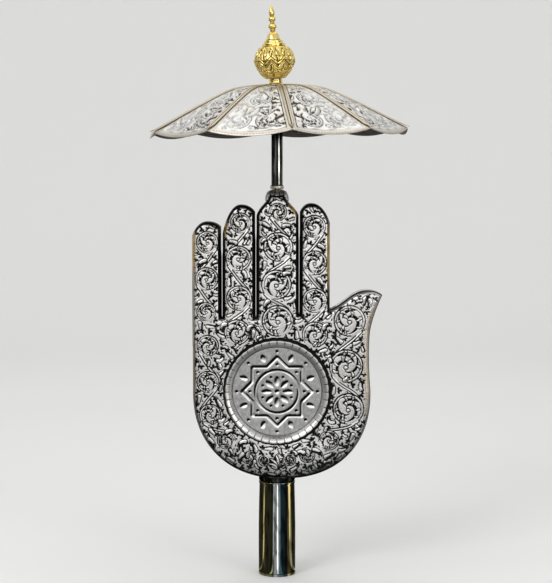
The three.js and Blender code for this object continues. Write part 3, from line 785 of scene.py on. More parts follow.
silver = chased_silver("embossed_silver", (0.80, 0.795, 0.785), (0.69, 0.675, 0.645), NEAR_BLACK, 0.3)
canopy_silver = chased_silver("canopy_silver", (0.87, 0.87, 0.865), (0.79, 0.77, 0.70),
                              (0.09, 0.07, 0.05), 0.4)
warm_silver = chased_silver("warm_silver", (0.66, 0.61, 0.5), (0.54, 0.48, 0.37), (0.05, 0.04, 0.03), 0.32)
stippled_silver = chased_silver("stippled_silver", grey(0.49), (0.31, 0.31, 0.305), NEAR_BLACK, 0.46,
                                ground_scale=1100.0, stipple=0.9, clouds=420.0)
# Across its width the socket's dark polish carries painted reflections: bright edges, and bands of olive,
# gold, steel and teal
nickel = tube_with_painted_reflections("polished_nickel", SOCKET_FOOT_RADIUS * MM, [
    (0.0, PAINTED_EDGE_GLEAM), (0.04, OLIVE), (0.11, OLIVE), (0.14, GOLD), (0.18, OLIVE), (0.33, OLIVE),
    (0.39, BLACK), (0.43, STEEL), (0.55, STEEL), (0.6, TEAL), (0.7, TEAL), (0.74, BLACK), (0.78, BLACK),
    (0.8, GOLD), (0.84, GOLD), (0.87, OLIVE), (0.95, OLIVE), (1.0, PAINTED_EDGE_GLEAM),
], (0.6, 0.6, 0.55), 0.05)
# The stem's bands are painted reflections, with a painted highlight right of its middle
stem_nickel = tube_with_painted_reflections("stem_nickel", STEM_RADIUS * MM, [
    (0.0, (0.2, 0.19, 0.14)), (0.1, grey(0.03)), (0.26, grey(0.03)), (0.3, (0.15, 0.15, 0.14)),
    (0.42, (0.12, 0.12, 0.11)), (0.47, grey(0.02)), (0.62, grey(0.02)), (0.67, STEM_PAINTED_HIGHLIGHT),
    (0.73, STEM_PAINTED_HIGHLIGHT), (0.79, grey(0.02)), (1.0, (0.12, 0.12, 0.09)),
], (0.3, 0.3, 0.28), 0.07)
black_nickel = dark_polish("darkened_nickel", NEAR_BLACK, (0.03, 0.03, 0.026), grey(0.3), 0.16)
steel = dark_polish("plain_steel", grey(0.32), (0.45, 0.44, 0.42), grey(1), 0.32)
gilt = gilding("gilt_brass", (0.97, 0.77, 0.28), (0.85, 0.63, 0.16), (0.06, 0.035, 0.008), 0.2)

for node in ("socket_plug", "rod_washer", "rod_nut", "tie_rod", "core_tube", "finial_nut"):
    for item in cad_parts[node].material_slots:
        item.material = steel


# Hand

def triangulated(points, edges, kind):
    """Points and triangles that keep the given edges."""
    found = delaunay_2d_cdt(points.tolist(), edges, [], kind, 1e-5, False)
    return np.array([tuple(v) for v in found[0]]), np.array([f for f in found[2] if len(f) == 3])


def border_loops(triangles):
    """The closed lines of edges that only one triangle has, in order."""
    pairs = np.vstack([triangles[:, [0, 1]], triangles[:, [1, 2]], triangles[:, [2, 0]]])
    edges = {(int(a), int(b)) for a, b in pairs}
    following = {}
    for a, b in edges:
        if (b, a) not in edges:
            following[a] = b
    loops = []
    while following:
        start, at = following.popitem()
        loop = [start]
        while at != start:
            loop.append(at)
            at = following.pop(at)
        loops.append(loop)
    return loops


def hand_surface(spacing, recess):
    """Triangles over the hand's outline in the plane of the face, densest at its edge."""
    rows = np.arange(PALM_BOTTOM - 1, MIDDLE["tip"] + 1, spacing * math.sqrt(0.75))
    columns = np.arange(PINKY["left"] - 1, THUMB_TIP[0] + 1, spacing)
    x, z = np.meshgrid(columns, rows)
    x = x + spacing / 2 * (np.arange(len(rows)) % 2)[:, None]
    inner = np.column_stack([x.ravel(), z.ravel()])
    inner = inner[depth_in_hand(inner) > EDGE_INSET + 0.5 * spacing]
    lines = []
    edge_rows, recess_points = 11, 240
    for level in EDGE_INSET * (1 - np.sin(np.linspace(0, math.pi / 2, edge_rows))):
        for outline in OUTLINES:
            ring = spaced(outline(level), spacing * 1.1)
            kept = depth_in_hand(ring) <= 1.5 * level + 0.05
            lines.append((ring, kept | np.roll(kept, -1)))
    if recess:
        inner = inner[np.hypot(inner[:, 0], inner[:, 1] - MEDALLION_Z) > RECESS_RADIUS + 0.4]
        for radius in (RECESS_RADIUS, RECESS_RADIUS - BORDER_SLOPE + 1):
            ring = circle(radius, recess_points, (0, MEDALLION_Z))
            lines.append((ring, np.ones(recess_points, bool)))
    points = [inner]
    edges = []
    count = len(inner)
    for ring, kept in lines:
        n = len(ring)
        points.append(ring)
        edges += [(count + i, count + (i + 1) % n) for i in range(n) if kept[i]]
        count += n
    points = np.vstack(points)
    used = np.zeros(len(points), bool)
    used[: len(inner)] = True
    used[np.array(edges).ravel()] = True
    renumber = np.cumsum(used) - 1
    edges = [(int(renumber[a]), int(renumber[b])) for a, b in edges]
    flat, triangles = triangulated(points[used], edges, 0)
    triangles = triangles[depth_in_hand(flat[triangles].mean(axis=1)) > 0]
    used = np.unique(triangles)
    renumber = np.full(len(flat), -1)
    renumber[used] = np.arange(len(used))
    return flat[used], renumber[triangles]


def side_strip(x, z):
    """The plain strip along the palm on the thumb's side, from 0 to 1."""
    return fade(x, 58, 66) * fade(z, 140, 155) * fade(z, 244, 236)


SLOTS = ((-48.5, 292), (-18.65, 306), (19.5, 306))  # middle and top of each slot between fingers
SLOT_SHUT = 0.62  # how far the seam closes a slot
# Places rubbed down to the brass: x, z, half width, half height and strength
RUBBED = ((-74, 290, 3, 22, 1), (-46, 308, 4, 8, 1), (46, 285, 3, 34, 1), (14, 326, 6, 8, 1),
          (-74, 180, 3, 60, 0.5))


def hand_paint(x, z, depth, plain, ink_and_shade):
    """How inked, brassy and tarnished each point of a face is, with painted shade and dark painted
    reflection along the rounded edges, on the heel and at the tops of the fingers.
    """
    between = fade(z, 226, 236) * (x > -72) * (x < 46)
    # Painted shade and dark painted reflection along the rounded edges, wider between the fingers and at
    # the bottom of the heel
    rim = 1.1 + 1.7 * between + 2.2 * fade(z, 118, 98)
    edge_shade = unit(2.4 - 2.4 * depth / rim)
    ink_and_shade = unit(ink_and_shade * plain + (1 - plain) * 0.1 + 0.6 * edge_shade)
    # Painted shade near the heel's edge, darker towards the bottom and towards the thumb's side
    heel = unit(0.85 * fade(z, 132, 96) * fade(depth, 24, 4) * (1 + 0.25 * np.clip(x / 60, -1, 1)))
    # A light teal-black tint near the edges of the upper fingers, less on the index finger
    cool = (0.22 - 0.12 * (x > 19)) * fade(z, 262, 312) * fade(depth, 10, 3)
    # Painted dark reflection along the rounded tops of the fingers
    painted_tip_shade = 0.9 * fade(z, 300, 330) * fade(depth, 4, 0.5)
    brass = 0
    for at_x, at_z, wide, tall, strength in RUBBED:
        brass = brass + strength * np.exp(-((x - at_x) / wide) ** 2 - ((z - at_z) / tall) ** 2)
    brass = 1.3 * fade(depth, 3.6, 2.1) * brass
    brass = unit(brass + 0.4 * side_strip(x, z) * fade(depth, 5.5, 4))
    # Tarnished tone and painted shade together, kept off the brass
    tarnish_and_shade = np.max([heel, cool, painted_tip_shade, edge_shade], axis=0) * (1 - brass)
    ink_and_shade = np.where(depth < 3, ink_and_shade * (1 - 0.85 * brass), ink_and_shade)
    return {"ink_and_shade": ink_and_shade, "brass": brass, "tarnish_and_shade": tarnish_and_shade}


def hand_shell(name, node, relief, side, spacing):
    """One half of the hand: embossed face, rounded edge, side wall and a flat back at the seam."""
    recess = side < 0
    flat, triangles = hand_surface(spacing, recess)
    x, z = flat.T
    depth = np.maximum(depth_in_hand(flat), 0)
    height = relief.sample(relief.height, x, z)
    ink_and_shade = relief.sample(relief.ink_and_shade, x, z)
    thumb = fade(x, 56, 64) * fade(z, 228, 236)
    ink_and_shade *= (1 + fade(z, 222, 210) if recess else 0.85) - 0.4 * thumb
    plain = fade(depth, 0.9, 1.9)
    if recess:
        away = np.hypot(x, z - MEDALLION_Z)
        plain = plain * fade(away, MEDALLION_REACH + 0.1, MEDALLION_REACH + 0.5)
    y = HALF_THICKNESS - rounded_drop(depth) + height * plain
    if recess:
        floor = PLATE_LOW - FIT
        up_wall = fade(away, RECESS_RADIUS - BORDER_SLOPE + 1, RECESS_RADIUS)
        y = np.where(away < RECESS_RADIUS - 1e-3, floor + up_wall * (HALF_THICKNESS - floor), y)
    marks = hand_paint(x, z, depth, plain, ink_and_shade)
    vertices = np.column_stack([x, side * y, z])
    if side > 0:
        triangles = triangles[:, ::-1]
    faces = triangles.tolist()
    for loop in border_loops(triangles):
        rows = [loop]
        for level in (EDGE_DEPTH * 0.4, SEAM_GAP / 2):
            added = vertices[loop].copy()
            added[:, 1] = side * level
            for slot, slot_top in SLOTS:
                near = np.abs(added[:, 0] - slot) < 1
                shut = SLOT_SHUT * near * fade(added[:, 2], slot_top, slot_top - 8)
                added[:, 0] += shut * (slot - added[:, 0])
            rows.append(list(range(len(vertices), len(vertices) + len(loop))))
            vertices = np.vstack([vertices, added])
            # The side walls are painted dark as shade and dark reflection, less so round the thumb
            on_thumb = (added[:, 0] > 52) & (added[:, 2] > 222)
            for mark, value in (("ink_and_shade", 0.4), ("brass", 0.0), ("tarnish_and_shade", 1.0)):
                marks[mark] = np.append(marks[mark], value * np.where(on_thumb, 0.3, 1))
        for upper, lower in zip(rows, rows[1:]):
            faces += wall_faces(upper, lower)
        faces.append(rows[2][::-1])
    return add_object(name, vertices, faces, "hand", node, silver, marks=marks, sharp=60)


# Chains of scrolls: x, z and radius of each, and which way the first one turns
FINGER_SCROLLS = [
    ([(-62.2, 236, 8.4), (-61.6, 265, 10.2), (-61, 297, 9.8)], -1),
    ([(-35, 218, 11.4), (-33.4, 248, 11.2), (-33.6, 283, 11.2), (-32, 314, 9)], 1),
    ([(0.4, 228, 14), (-0.4, 260, 13.2), (0.8, 293, 13), (0.6, 323.5, 8)], -1),
    ([(33.4, 216, 11.4), (33, 246, 11), (33, 279, 11), (32.4, 311, 10)], 1),
]
PALM_SCROLLS = [
    ([(46, 122, 9), (62.6, 150, 14), (61, 188, 15), (63.5, 228, 14)], 1),
    ([(-45, 122, 8), (-59, 145, 9.6), (-61, 174, 9.8), (-60.8, 206, 9.6)], -1),
]
BACK_SCROLLS = [
    ([(24, 112, 8.6), (48, 138, 13), (58, 178, 15), (60, 224, 14.5)], 1),
    ([(-20, 112, 8.6), (-46, 134, 11), (-57, 166, 12), (-58, 204, 11.5)], -1),
]
HEEL_SCROLLS = [(-25, 107.5, 6.6, 1, 2.4), (-11.5, 104, 5, -1, 0.6), (11, 105, 5.6, 1, 2.6),
                (26.5, 109, 7, -1, 0.8)]
BACK_ROSETTE = (1, 166)
HAND_SHEET = ((-78, 84), (96, 342))  # lowest and highest x and z of the drawn relief


def hand_relief(front):
    relief = Relief(*HAND_SHEET)
    coarse = Relief(*HAND_SHEET, 1.0)
    x, z = coarse.grid()
    depth = depth_in_hand(np.column_stack([x.ravel(), z.ravel()])).reshape(x.shape)
    x, z = relief.grid()
    margin = coarse.sample(depth, x, z)
    strip = side_strip(x, z) if front else np.zeros(x.shape)
    relief.taken |= margin < EDGE_LINE + 2.4 * strip
    away = np.hypot(x, z - MEDALLION_Z)
    if front:
        relief.taken |= away < MEDALLION_REACH + 2.4
    for scrolls, hand in FINGER_SCROLLS + (PALM_SCROLLS if front else BACK_SCROLLS):
        relief.chain(scrolls, hand)
    if front:
        for scroll in HEEL_SCROLLS:
            relief.scroll(*scroll)
        for turn_by in (-0.7, -0.35, 0, 0.35, 0.7):
            relief.leaf(-0.6, 97, UP + turn_by, 12 - 5 * abs(turn_by), turn_by)
    else:
        for k in range(STAR_POINTS):
            angle = TAU * k / STAR_POINTS
            relief.leaf(*(np.array(BACK_ROSETTE) + 5 * toward(angle)), angle, 14, 0.0)
            for curl in (0.6, -0.6):
                relief.leaf(*(np.array(BACK_ROSETTE) + 21 * toward(angle)), angle, 12, curl)
        relief.stroke(closed(circle(20, 60, BACK_ROSETTE)), 0.8)
        relief.stroke([BACK_ROSETTE, (BACK_ROSETTE[0], BACK_ROSETTE[1] + 0.01)], 3.4, rise=0.6)
    relief.fill((11, 8, 5.5, 4.2, 2.8), seed=7 if front else 11)
    line = unit(1 - np.abs(margin - EDGE_LINE) / 0.5) * (1 - strip)
    relief.height = relief.height * fade(margin, 1.4, 2) - 0.3 * line
    relief.ink_and_shade = np.maximum(relief.ink_and_shade * fade(margin, 1.3, 1.8), 0.9 * line)
    if front:
        # A dark sunk line round the medallion's flange, its darkness widened over the upper side as
        # painted shade
        angle = np.arctan2(x, z - MEDALLION_Z)
        lobed = np.abs(np.sin(angle * BORDER_LOBES / 2)) ** 0.6
        from_flange = np.abs(away - MEDALLION_REACH - 1.1 - BORDER_SWELL * lobed)
        ring = unit(1.5 - from_flange / (0.95 + 0.45 * np.cos(angle - 0.6)))
        relief.ink_and_shade = np.maximum(relief.ink_and_shade, ring)
        relief.height -= 0.4 * ring
    return relief


hand_shell("hand_front_face", "hand_front", hand_relief(True), -1, 0.44)
hand_shell("hand_back_face", "hand_back", hand_relief(False), 1, 0.6)


# Medallion: a matted plate with a sunk eight-pointed star and a rosette

def star_line(radius):
    inner = radius * math.cos(math.pi / 4) / math.cos(math.pi / STAR_POINTS)
    reach = np.where(np.arange(2 * STAR_POINTS) % 2, inner, radius)
    angle = np.arange(2 * STAR_POINTS) * math.pi / STAR_POINTS
    points = np.column_stack([reach * np.cos(angle), reach * np.sin(angle)])
    return spaced(closed(points), 1.2, is_ring=False)


def medallion_relief():
    size = STAR_SCALE * (MEDALLION_RADIUS + 1)
    relief = Relief((-size, -size), (size, size), ground=0)
    sunk = dict(rise=-1.5 * CHANNEL_DEPTH, line=0)
    relief.stroke(star_line(STAR_RADIUS - STAR_CHANNEL / 2), 2.2, **sunk)
    relief.stroke(closed(circle(STAR_RING_RADIUS, 90)), 1.9, **sunk)
    t = np.linspace(0, 1, 9)
    for k in range(STAR_POINTS):
        angle = TAU * k / STAR_POINTS
        point = toward(angle)
        notch = toward(angle + math.pi / STAR_POINTS)
        petal = point * (PETAL_ROOT + (PETAL_REACH - PETAL_ROOT) * t)[:, None]
        relief.stroke(petal, 0.4 + 2.7 * np.sin(math.pi * t) ** 0.9, **sunk)
        for way, at, half in ((notch, *NOTCH_DOT), (point, *POINT_DOT), (point, *RIM_DOT)):
            relief.stroke([way * at, way * (at + 0.02)], half, **sunk)
        drop = notch * (NOTCH_DROP + (RIM_DOT[0] + 0.4 - NOTCH_DROP) * t)[:, None]
        relief.stroke(drop, 0.3 + 2.7 * np.sin(math.pi * t ** 0.8), **sunk)
    relief.stroke([(0, 0), (0.02, 0)], 2.8, **sunk)
    return relief


def medallion_plate():
    relief = medallion_relief()
    reach = MEDALLION_RADIUS - FIT
    spacing = 0.42
    axis = np.arange(-reach, reach, spacing)
    x, z = (a.ravel() for a in np.meshgrid(axis, axis))
    inner = np.column_stack([x, z])[np.hypot(x, z) < reach - 0.5 * spacing]
    rim = circle(reach, 420)
    edges = [(len(inner) + i, len(inner) + (i + 1) % len(rim)) for i in range(len(rim))]
    flat, triangles = triangulated(np.vstack([inner, rim]), edges, 1)
    x, z = STAR_SCALE * flat.T
    height = relief.sample(relief.height, x, z)
    # Painted shade on the upper wall of each sunk line, found from the height above and to the left;
    # painted highlight on the lower wall, from the height below and to the right
    over = relief.sample(relief.height, x - 0.85, z + 2)
    under = relief.sample(relief.height, x + 0.65, z - 1.6)
    ink_and_shade = unit(2 * (over - height) / CHANNEL_DEPTH - 0.6)
    painted_highlight = unit(2 * (under - height) / CHANNEL_DEPTH - 0.3) * (1 - ink_and_shade)
    top = PLATE_LOW + PLATE_THICKNESS
    vertices = np.column_stack([flat[:, 0], -(top + height), flat[:, 1] + MEDALLION_Z])
    loop = border_loops(triangles)[0]
    back = vertices[loop].copy()
    back[:, 1] = -PLATE_LOW
    n = len(loop)
    lower = list(range(len(vertices), len(vertices) + n))
    faces = [*triangles.tolist(), *wall_faces(loop, lower), lower[::-1]]
    marks = {"ink_and_shade": np.append(ink_and_shade, np.full(n, 0.5)), "painted_highlight": np.append(painted_highlight, np.zeros(n))}
    add_object("medallion_star", np.vstack([vertices, back]), faces, "hand", "medallion_plate",
               stippled_silver, marks=marks)


def medallion_border():
    """The sloping ring, with a lobed flange and cuts that part it into short lengths."""
    count = BORDER_LOBES * 12
    floor = PLATE_LOW + PLATE_THICKNESS
    flange = HALF_THICKNESS + FIT
    mouth = MEDALLION_RADIUS + BORDER_SLOPE
    angle = np.arange(count) * TAU / count
    swell = np.abs(np.sin(angle * BORDER_LOBES / 2)) ** 0.6
    cut = unit(1 - swell * 2.2)
    outer = mouth + BORDER_FLANGE + BORDER_SWELL * swell
    top = flange + BORDER_HEIGHT * (0.55 + 0.4 * swell)
    rows = [
        (MEDALLION_RADIUS, PLATE_LOW, 0.6),
        (MEDALLION_RADIUS + 0.8, PLATE_LOW, 0.6),
        (mouth, flange, 0.8),
        (outer, flange, 0.9),
        (outer, top - 0.45, 0.75),
        (outer - 0.35, top - 0.12, 0.25),
        (outer - 0.9, top, 0.0),
    ]
    start_radius, start_y = mouth + 0.1, flange + BORDER_HEIGHT * 0.5
    for t in np.linspace(0, 1, 8):
        radius = start_radius + (MEDALLION_RADIUS - start_radius) * t
        y = start_y + (floor - start_y) * t ** 1.7
        rows.append((radius, y - 0.3 * cut * math.sin(math.pi * t), 0.0))
    radii, ys, ink_and_shade = (np.array([np.broadcast_to(value, count) for value in values])
                      for values in zip(*rows))
    vertices = np.stack([radii * np.cos(angle), -ys, MEDALLION_Z + radii * np.sin(angle)], -1)
    ink_and_shade[6:13] = np.maximum(ink_and_shade[6:13], cut * np.linspace(1, 0.25, 7)[:, None])
    # Painted shade, darker over the upper half of the sloping wall
    ink_and_shade[7:] = np.maximum(ink_and_shade[7:], 0.3 * unit(np.sin(angle + 0.15) + 0.1) ** 0.7)
    add_object("medallion_lobed_border", vertices.reshape(-1, 3), grid_faces(len(rows), count), "hand",
               "medallion_border", silver, marks={"ink_and_shade": ink_and_shade})


medallion_plate()
medallion_border()


# Socket, collar and stem

def on_hand(name, profile, node, material, radius=0.4):
    return turned(name, profile, node, "hand", material, count=128, radius=radius)


def ring_profile(bore, radius, low, high, below, above):
    """A turned ring whose lower and upper outer corners are cut off by a width and a height."""
    return [(bore, low), (radius - below[0], low), (radius, low + below[1]),
            (radius, high - above[1]), (radius - above[0], high), (bore, high)]


on_hand("socket_tube", [
    (SOCKET_FOOT_RADIUS - SOCKET_WALL, 0),
    (SOCKET_FOOT_RADIUS - 0.4, 0),
    (SOCKET_FOOT_RADIUS, 0.5),
    (SOCKET_FOOT_RADIUS - 0.1, 2.5),
    (SOCKET_FOOT_RADIUS, 22),
    (SOCKET_FOOT_RADIUS, 44),
    (SOCKET_FOOT_RADIUS - 0.4, 66),
    (SOCKET_TOP_RADIUS + 0.4, SOCKET_HEIGHT - 3.2),
    (SOCKET_TOP_RADIUS + 0.8, SOCKET_HEIGHT - 2.2),
    (SOCKET_TOP_RADIUS + 0.8, SOCKET_HEIGHT - 0.5),
    (SOCKET_TOP_RADIUS + 0.3, SOCKET_HEIGHT),
    (SOCKET_TOP_RADIUS - SOCKET_WALL, SOCKET_HEIGHT),
    (SOCKET_TOP_RADIUS - SOCKET_WALL, SOCKET_HEIGHT * 0.6),
    (SOCKET_FOOT_RADIUS - SOCKET_WALL, 1),
], "pole_socket", nickel)

low = SOCKET_HEIGHT + FIT
high = PALM_BOTTOM + 3.5
collar = ring_profile(COLLAR_BORE, COLLAR_RADIUS, low, high, (0.5, 0.6), (1, 1))
on_hand("collar_ring", collar, "neck_collar", black_nickel)


def stem_dome():
    """The fluted dome on the tip of the middle finger."""
    dome_low = CAP_SKIRT + 1.2
    cap = [(ROD_RADIUS + FIT, CAP_SKIRT), (CAP_RADIUS - 0.6, CAP_SKIRT), (CAP_RADIUS, CAP_SKIRT + 1)]
    for t in np.linspace(0.12, 0.93, 12) * math.pi / 2:
        cap.append((CAP_RADIUS * math.cos(t) ** 0.62, dome_low + (CAP_TOP - dome_low) * math.sin(t)))
    cap.append((ROD_RADIUS + FIT, CAP_TOP))
    vertices, faces = turn(eased(cap, 0.2), 14 * CAP_FLUTES)
    x, y, z = vertices.T
    lobed = np.abs(np.sin(CAP_FLUTES / 2 * np.arctan2(y, x)))
    on = fade(z, CAP_SKIRT + 1.6, CAP_SKIRT + 2.4) * fade(np.hypot(x, y), 3.6, 4.8)
    groove = unit(1.3 - 3.2 * lobed) * on
    band = unit(1 - np.abs(z - CAP_SKIRT - 1.8) / 0.5)
    vertices[:, :2] *= (1 - 0.08 * (1 - lobed ** 0.6) * on)[:, None]
    marks = {"ink_and_shade": np.maximum(groove, band), "tarnish_and_shade": np.full(len(vertices), 0.35)}
    add_object("stem_dome", vertices, faces, "hand", "stem_cap", silver, marks=marks)


stem_dome()
low = CAP_TOP + FIT
high = low + STEM_COLLAR_HEIGHT
collar = ring_profile(STEM_RADIUS + FIT, STEM_COLLAR_RADIUS, low, high, (0.6, 1), (0.6, 1))
on_hand("stem_ring", collar, "stem_collar", warm_silver)

high = SEAT_TOP - SEAT_HEIGHT - FIT
on_hand("stem_pipe", [(STEM_BORE, low), (STEM_RADIUS, low), (STEM_RADIUS, high), (STEM_BORE, high)],
        "stem_tube", stem_nickel, radius=0.3)

low = SEAT_TOP - SEAT_HEIGHT
seat = ring_profile(ROD_RADIUS + FIT, SEAT_RADIUS, low, SEAT_TOP, (1.2, 1.2), (0.5, 0.5))
on_hand("seat_disc", seat, "canopy_seat", steel)


# Umbrella

def leaning(degrees):
    """A frame on the seat's top that leans towards the little finger's side."""
    return Matrix.Translation((0, 0, SEAT_TOP * MM)) @ Matrix.Rotation(math.radians(-degrees), 4, "Y")


canopy_frame = leaning(CANOPY_LEAN)
HALF_GORE = math.pi / GORES
GORE_ROOT = HUB_RADIUS + FIT
# Scrolls of a gore: across, out from the axis, radius and which way it turns
GORE_SCROLLS = ((12.6, 97, 11, 1), (-12.6, 97, 11, -1), (0, 66, 9.6, 1), (0, 42, 7.2, -1))


def skin_height(radius):
    past = radius - KNEE_RADIUS
    return CROWN_HEIGHT - SLOPE * (np.hypot(past, KNEE_SOFTNESS) + past) / 2


def gore_relief(shaded_side):
    """One gore: a plain border, scrolls and leaves up to the crown, and its cut lines darker on one side
    as painted shade.
    """
    relief = Relief((-38, GORE_ROOT - 1), (38, TIP_RADIUS + 1), 0.3, 0.0, GORE_INK)
    x, r = relief.grid()
    side = r * math.pi / GORES - np.abs(x)
    hem = TIP_RADIUS - r
    relief.taken |= (side < SIDE_BORDER) | (hem < HEM_BORDER) | (r < 18)
    for at_x, at_r, radius, hand in GORE_SCROLLS:
        relief.scroll(at_x, at_r, radius, hand, hand * 0.9 - UP)
    for sway in (-1, 1):
        relief.leaf(0, 81, UP + sway * 0.25, 15, sway * 0.8, line=0.8)
        relief.lobe(sway * 26, 88, UP - sway * 0.4, 14, sway * 1.2)
        relief.lobe(sway * 9, 78, UP + sway * 2.2, 13, -sway * 1.2)
    relief.fill((12, 8.5, 5.8), seed=5)
    shown = (side > SIDE_LINE - 0.4) & (hem > HEM_LINE - 0.4)
    for away, at in ((side, SIDE_LINE), (hem, HEM_LINE)):
        cut = np.where(shown, unit(1 - np.abs(away - at) / 0.6), 0)
        relief.height -= 0.35 * cut
        relief.ink_and_shade = np.maximum(relief.ink_and_shade, 0.4 * cut)
    swell = np.sin(x * 0.42 + 1.3 * np.sin(r * 0.13)) * np.sin(r * 0.36 + 0.9 * np.sin(x * 0.2))
    inner = (side > SIDE_LINE + 0.4) & (hem > HEM_LINE + 0.4)
    relief.height = np.where(inner, 1.5 * relief.height + 0.45 * swell, relief.height)
    # Painted shade: the cut lines grow darker towards one side of the gore and lighter towards the other
    relief.ink_and_shade *= np.maximum(1.25 + 1.2 * shaded_side * np.clip(x / (r * 0.28), -1, 1), 0.5)
    rim = (side < SIDE_LINE - 0.5) | (hem < HEM_LINE - 0.5)
    relief.height[rim] = 0
    relief.ink_and_shade[rim] = 0.04
    dots = unit(1.6 * np.sin(x * TAU / 2.6)) * (np.abs(hem - 0.9) < 0.6)
    relief.ink_and_shade = np.maximum(relief.ink_and_shade, 0.4 * dots)
    return relief


def gore_mesh(shaded_side):
    relief = gore_relief(shaded_side)
    across, along = 96, 100
    share = np.linspace(-1, 1, across + 1)[None, :]
    reach = (np.linspace(0, 1, along + 1) ** 0.9)[:, None]
    bulge = 1 - share ** 2
    outer = TIP_RADIUS - (TIP_RADIUS - HEM_RADIUS) * bulge
    radius = GORE_ROOT + (outer - GORE_ROOT) * reach
    angle = share * (HALF_GORE - np.arcsin(FIT / 2 / radius))
    z = skin_height(radius) - (HEM_DROP + HEM_SAG) * bulge * reach ** 4
    flat_x = radius * angle
    flat_r = radius + (TIP_RADIUS - outer)
    height = relief.sample(relief.height, flat_x, flat_r)
    ink_and_shade = relief.sample(relief.ink_and_shade, flat_x, flat_r)
    # Painted shade on slopes of the embossing that face out towards the hem and the shaded side
    above = relief.sample(relief.height, flat_x - 0.5 * shaded_side, flat_r - 1.1)
    below = relief.sample(relief.height, flat_x + 0.5 * shaded_side, flat_r + 1.1)
    ink_and_shade = unit(ink_and_shade + 0.16 * unit((above - below) / 0.8))
    x, y = radius * np.cos(angle), radius * np.sin(angle)
    top = np.stack([x, y, z + height], -1).reshape(-1, 3)
    under = np.stack([x, y, z + 0.8 * height - SHEET], -1).reshape(-1, 3)
    rows, columns = radius.shape
    size = rows * columns
    skin = grid_faces(rows, columns, False, False)[:, OTHER_WAY]
    rim = np.concatenate([np.arange(across), np.arange(along) * columns + across,
                          size - 1 - np.arange(across), (along - np.arange(along)) * columns])
    after = np.roll(rim, -1)
    edge = np.stack([rim, after, after + size, rim + size], -1)
    from_side = flat_r * HALF_GORE - np.abs(flat_x)
    border = fade(np.minimum(from_side, TIP_RADIUS - flat_r + 1.2), 4.5, 3.9)
    # The underside is darker and teal-toned as painted shade under the umbrella
    marks = {
        "ink_and_shade": np.append(ink_and_shade, 0.35 + 0.5 * ink_and_shade),
        "brass": np.append(0.3 * border, np.zeros(size)),
        "tarnish_and_shade": np.append(np.zeros(size), np.full(size, 0.35)),
    }
    return np.vstack([top, under]), np.vstack([skin, skin[:, ::-1] + size, edge]), marks


def rib_mesh():
    """A strap of two rounded beads with a line between them, drawn out to a point."""
    start, end = CROWN_DISC_RADIUS + FIT, TIP_RADIUS + RIB_POINT
    n, across = 70, 17
    radius = start + (end - start) * np.linspace(0, 1, n)
    to_point = unit(1 - (end - radius) / RIB_POINT_LENGTH)
    half = RIB_WIDTH / 2 * (1 - 0.88 * to_point)
    base = skin_height(radius) + FIT + RIB_POINT_LIFT * to_point ** 2
    crown = RIB_HEIGHT * (1 - 0.5 * to_point)
    share = np.linspace(-1, 1, across)
    bead = np.sqrt(unit(1 - (2 * np.abs(share) - 1) ** 2)) * 0.75 + 0.2
    bead[[0, -1]] = 0.15
    aside = np.append(share, [1, -1])
    lift = np.append(bead, [0, 0])
    m = len(aside)
    rows = np.stack([np.repeat(radius[:, None], m, 1), half[:, None] * aside,
                     base[:, None] + crown[:, None] * lift], -1)
    faces = grid_faces(n, m, rows_close=False)[:, OTHER_WAY].tolist()
    faces += [list(range(m)), list(range((n - 1) * m, n * m))[::-1]]
    groove = np.append(unit(1 - 5 * np.abs(share)) * 0.7, [0.3, 0.3])
    groove[[0, across - 1]] = 0.22
    marks = {"ink_and_shade": np.tile(groove, n), "brass": np.full(n * m, 0.12)}
    return rows.reshape(-1, 3), faces, marks


gore_parts = {shaded_side: gore_mesh(shaded_side) for shaded_side in (-1, 1)}
rib_parts = rib_mesh()
made = {}


def canopy_piece(key, name, node, material, matrix, parts, sharp):
    """A piece of the umbrella, which shares its mesh with the others of its key."""
    if key in made:
        place(name, made[key], "canopy", node, matrix)
    else:
        vertices, faces, marks = parts
        piece = add_object(name, vertices, faces, "canopy", node, material, matrix, marks, sharp)
        made[key] = piece.data


for number in range(GORES):
    seam = math.radians(FIRST_SEAM) + TAU / GORES * number
    label = f"{number + 1:02d}"
    shaded_side = -1 if number < GORES / 2 else 1
    gore_turn = canopy_frame @ Matrix.Rotation(seam + HALF_GORE, 4, "Z")
    rib_turn = canopy_frame @ Matrix.Rotation(seam, 4, "Z")
    canopy_piece(shaded_side, f"canopy_gore_{label}", f"canopy_panel_{label}",
                 canopy_silver, gore_turn, gore_parts[shaded_side], 60)
    canopy_piece("rib", f"canopy_strap_{label}", f"canopy_rib_{label}",
                 warm_silver, rib_turn, rib_parts, 40)

turned("crown_disc", [
    (HUB_BORE, CROWN_HEIGHT),
    (CROWN_DISC_RADIUS - 0.4, CROWN_HEIGHT),
    (CROWN_DISC_RADIUS, CROWN_HEIGHT + 0.3),
    (CROWN_DISC_RADIUS - 0.5, CROWN_HEIGHT + CROWN_DISC),
    (HUB_BORE, CROWN_HEIGHT + CROWN_DISC),
], "canopy_crown", "canopy", warm_silver, canopy_frame, radius=0.2)

flange_top = float(skin_height(HUB_FLANGE_RADIUS)) - SHEET - FIT
hub_top = float(skin_height(HUB_RADIUS))
turned("hub_sleeve", [
    (HUB_BORE, FIT + 0.2),
    (HUB_RADIUS - 0.8, FIT + 0.2),
    (HUB_RADIUS, 1.2),
    (HUB_RADIUS, flange_top - HUB_FLANGE),
    (HUB_FLANGE_RADIUS, flange_top - HUB_FLANGE),
    (HUB_FLANGE_RADIUS, flange_top),
    (HUB_RADIUS, flange_top),
    (HUB_RADIUS, hub_top),
    (HUB_BORE, hub_top),
], "canopy_hub", "canopy", warm_silver, canopy_frame, radius=0.3)


# Finial

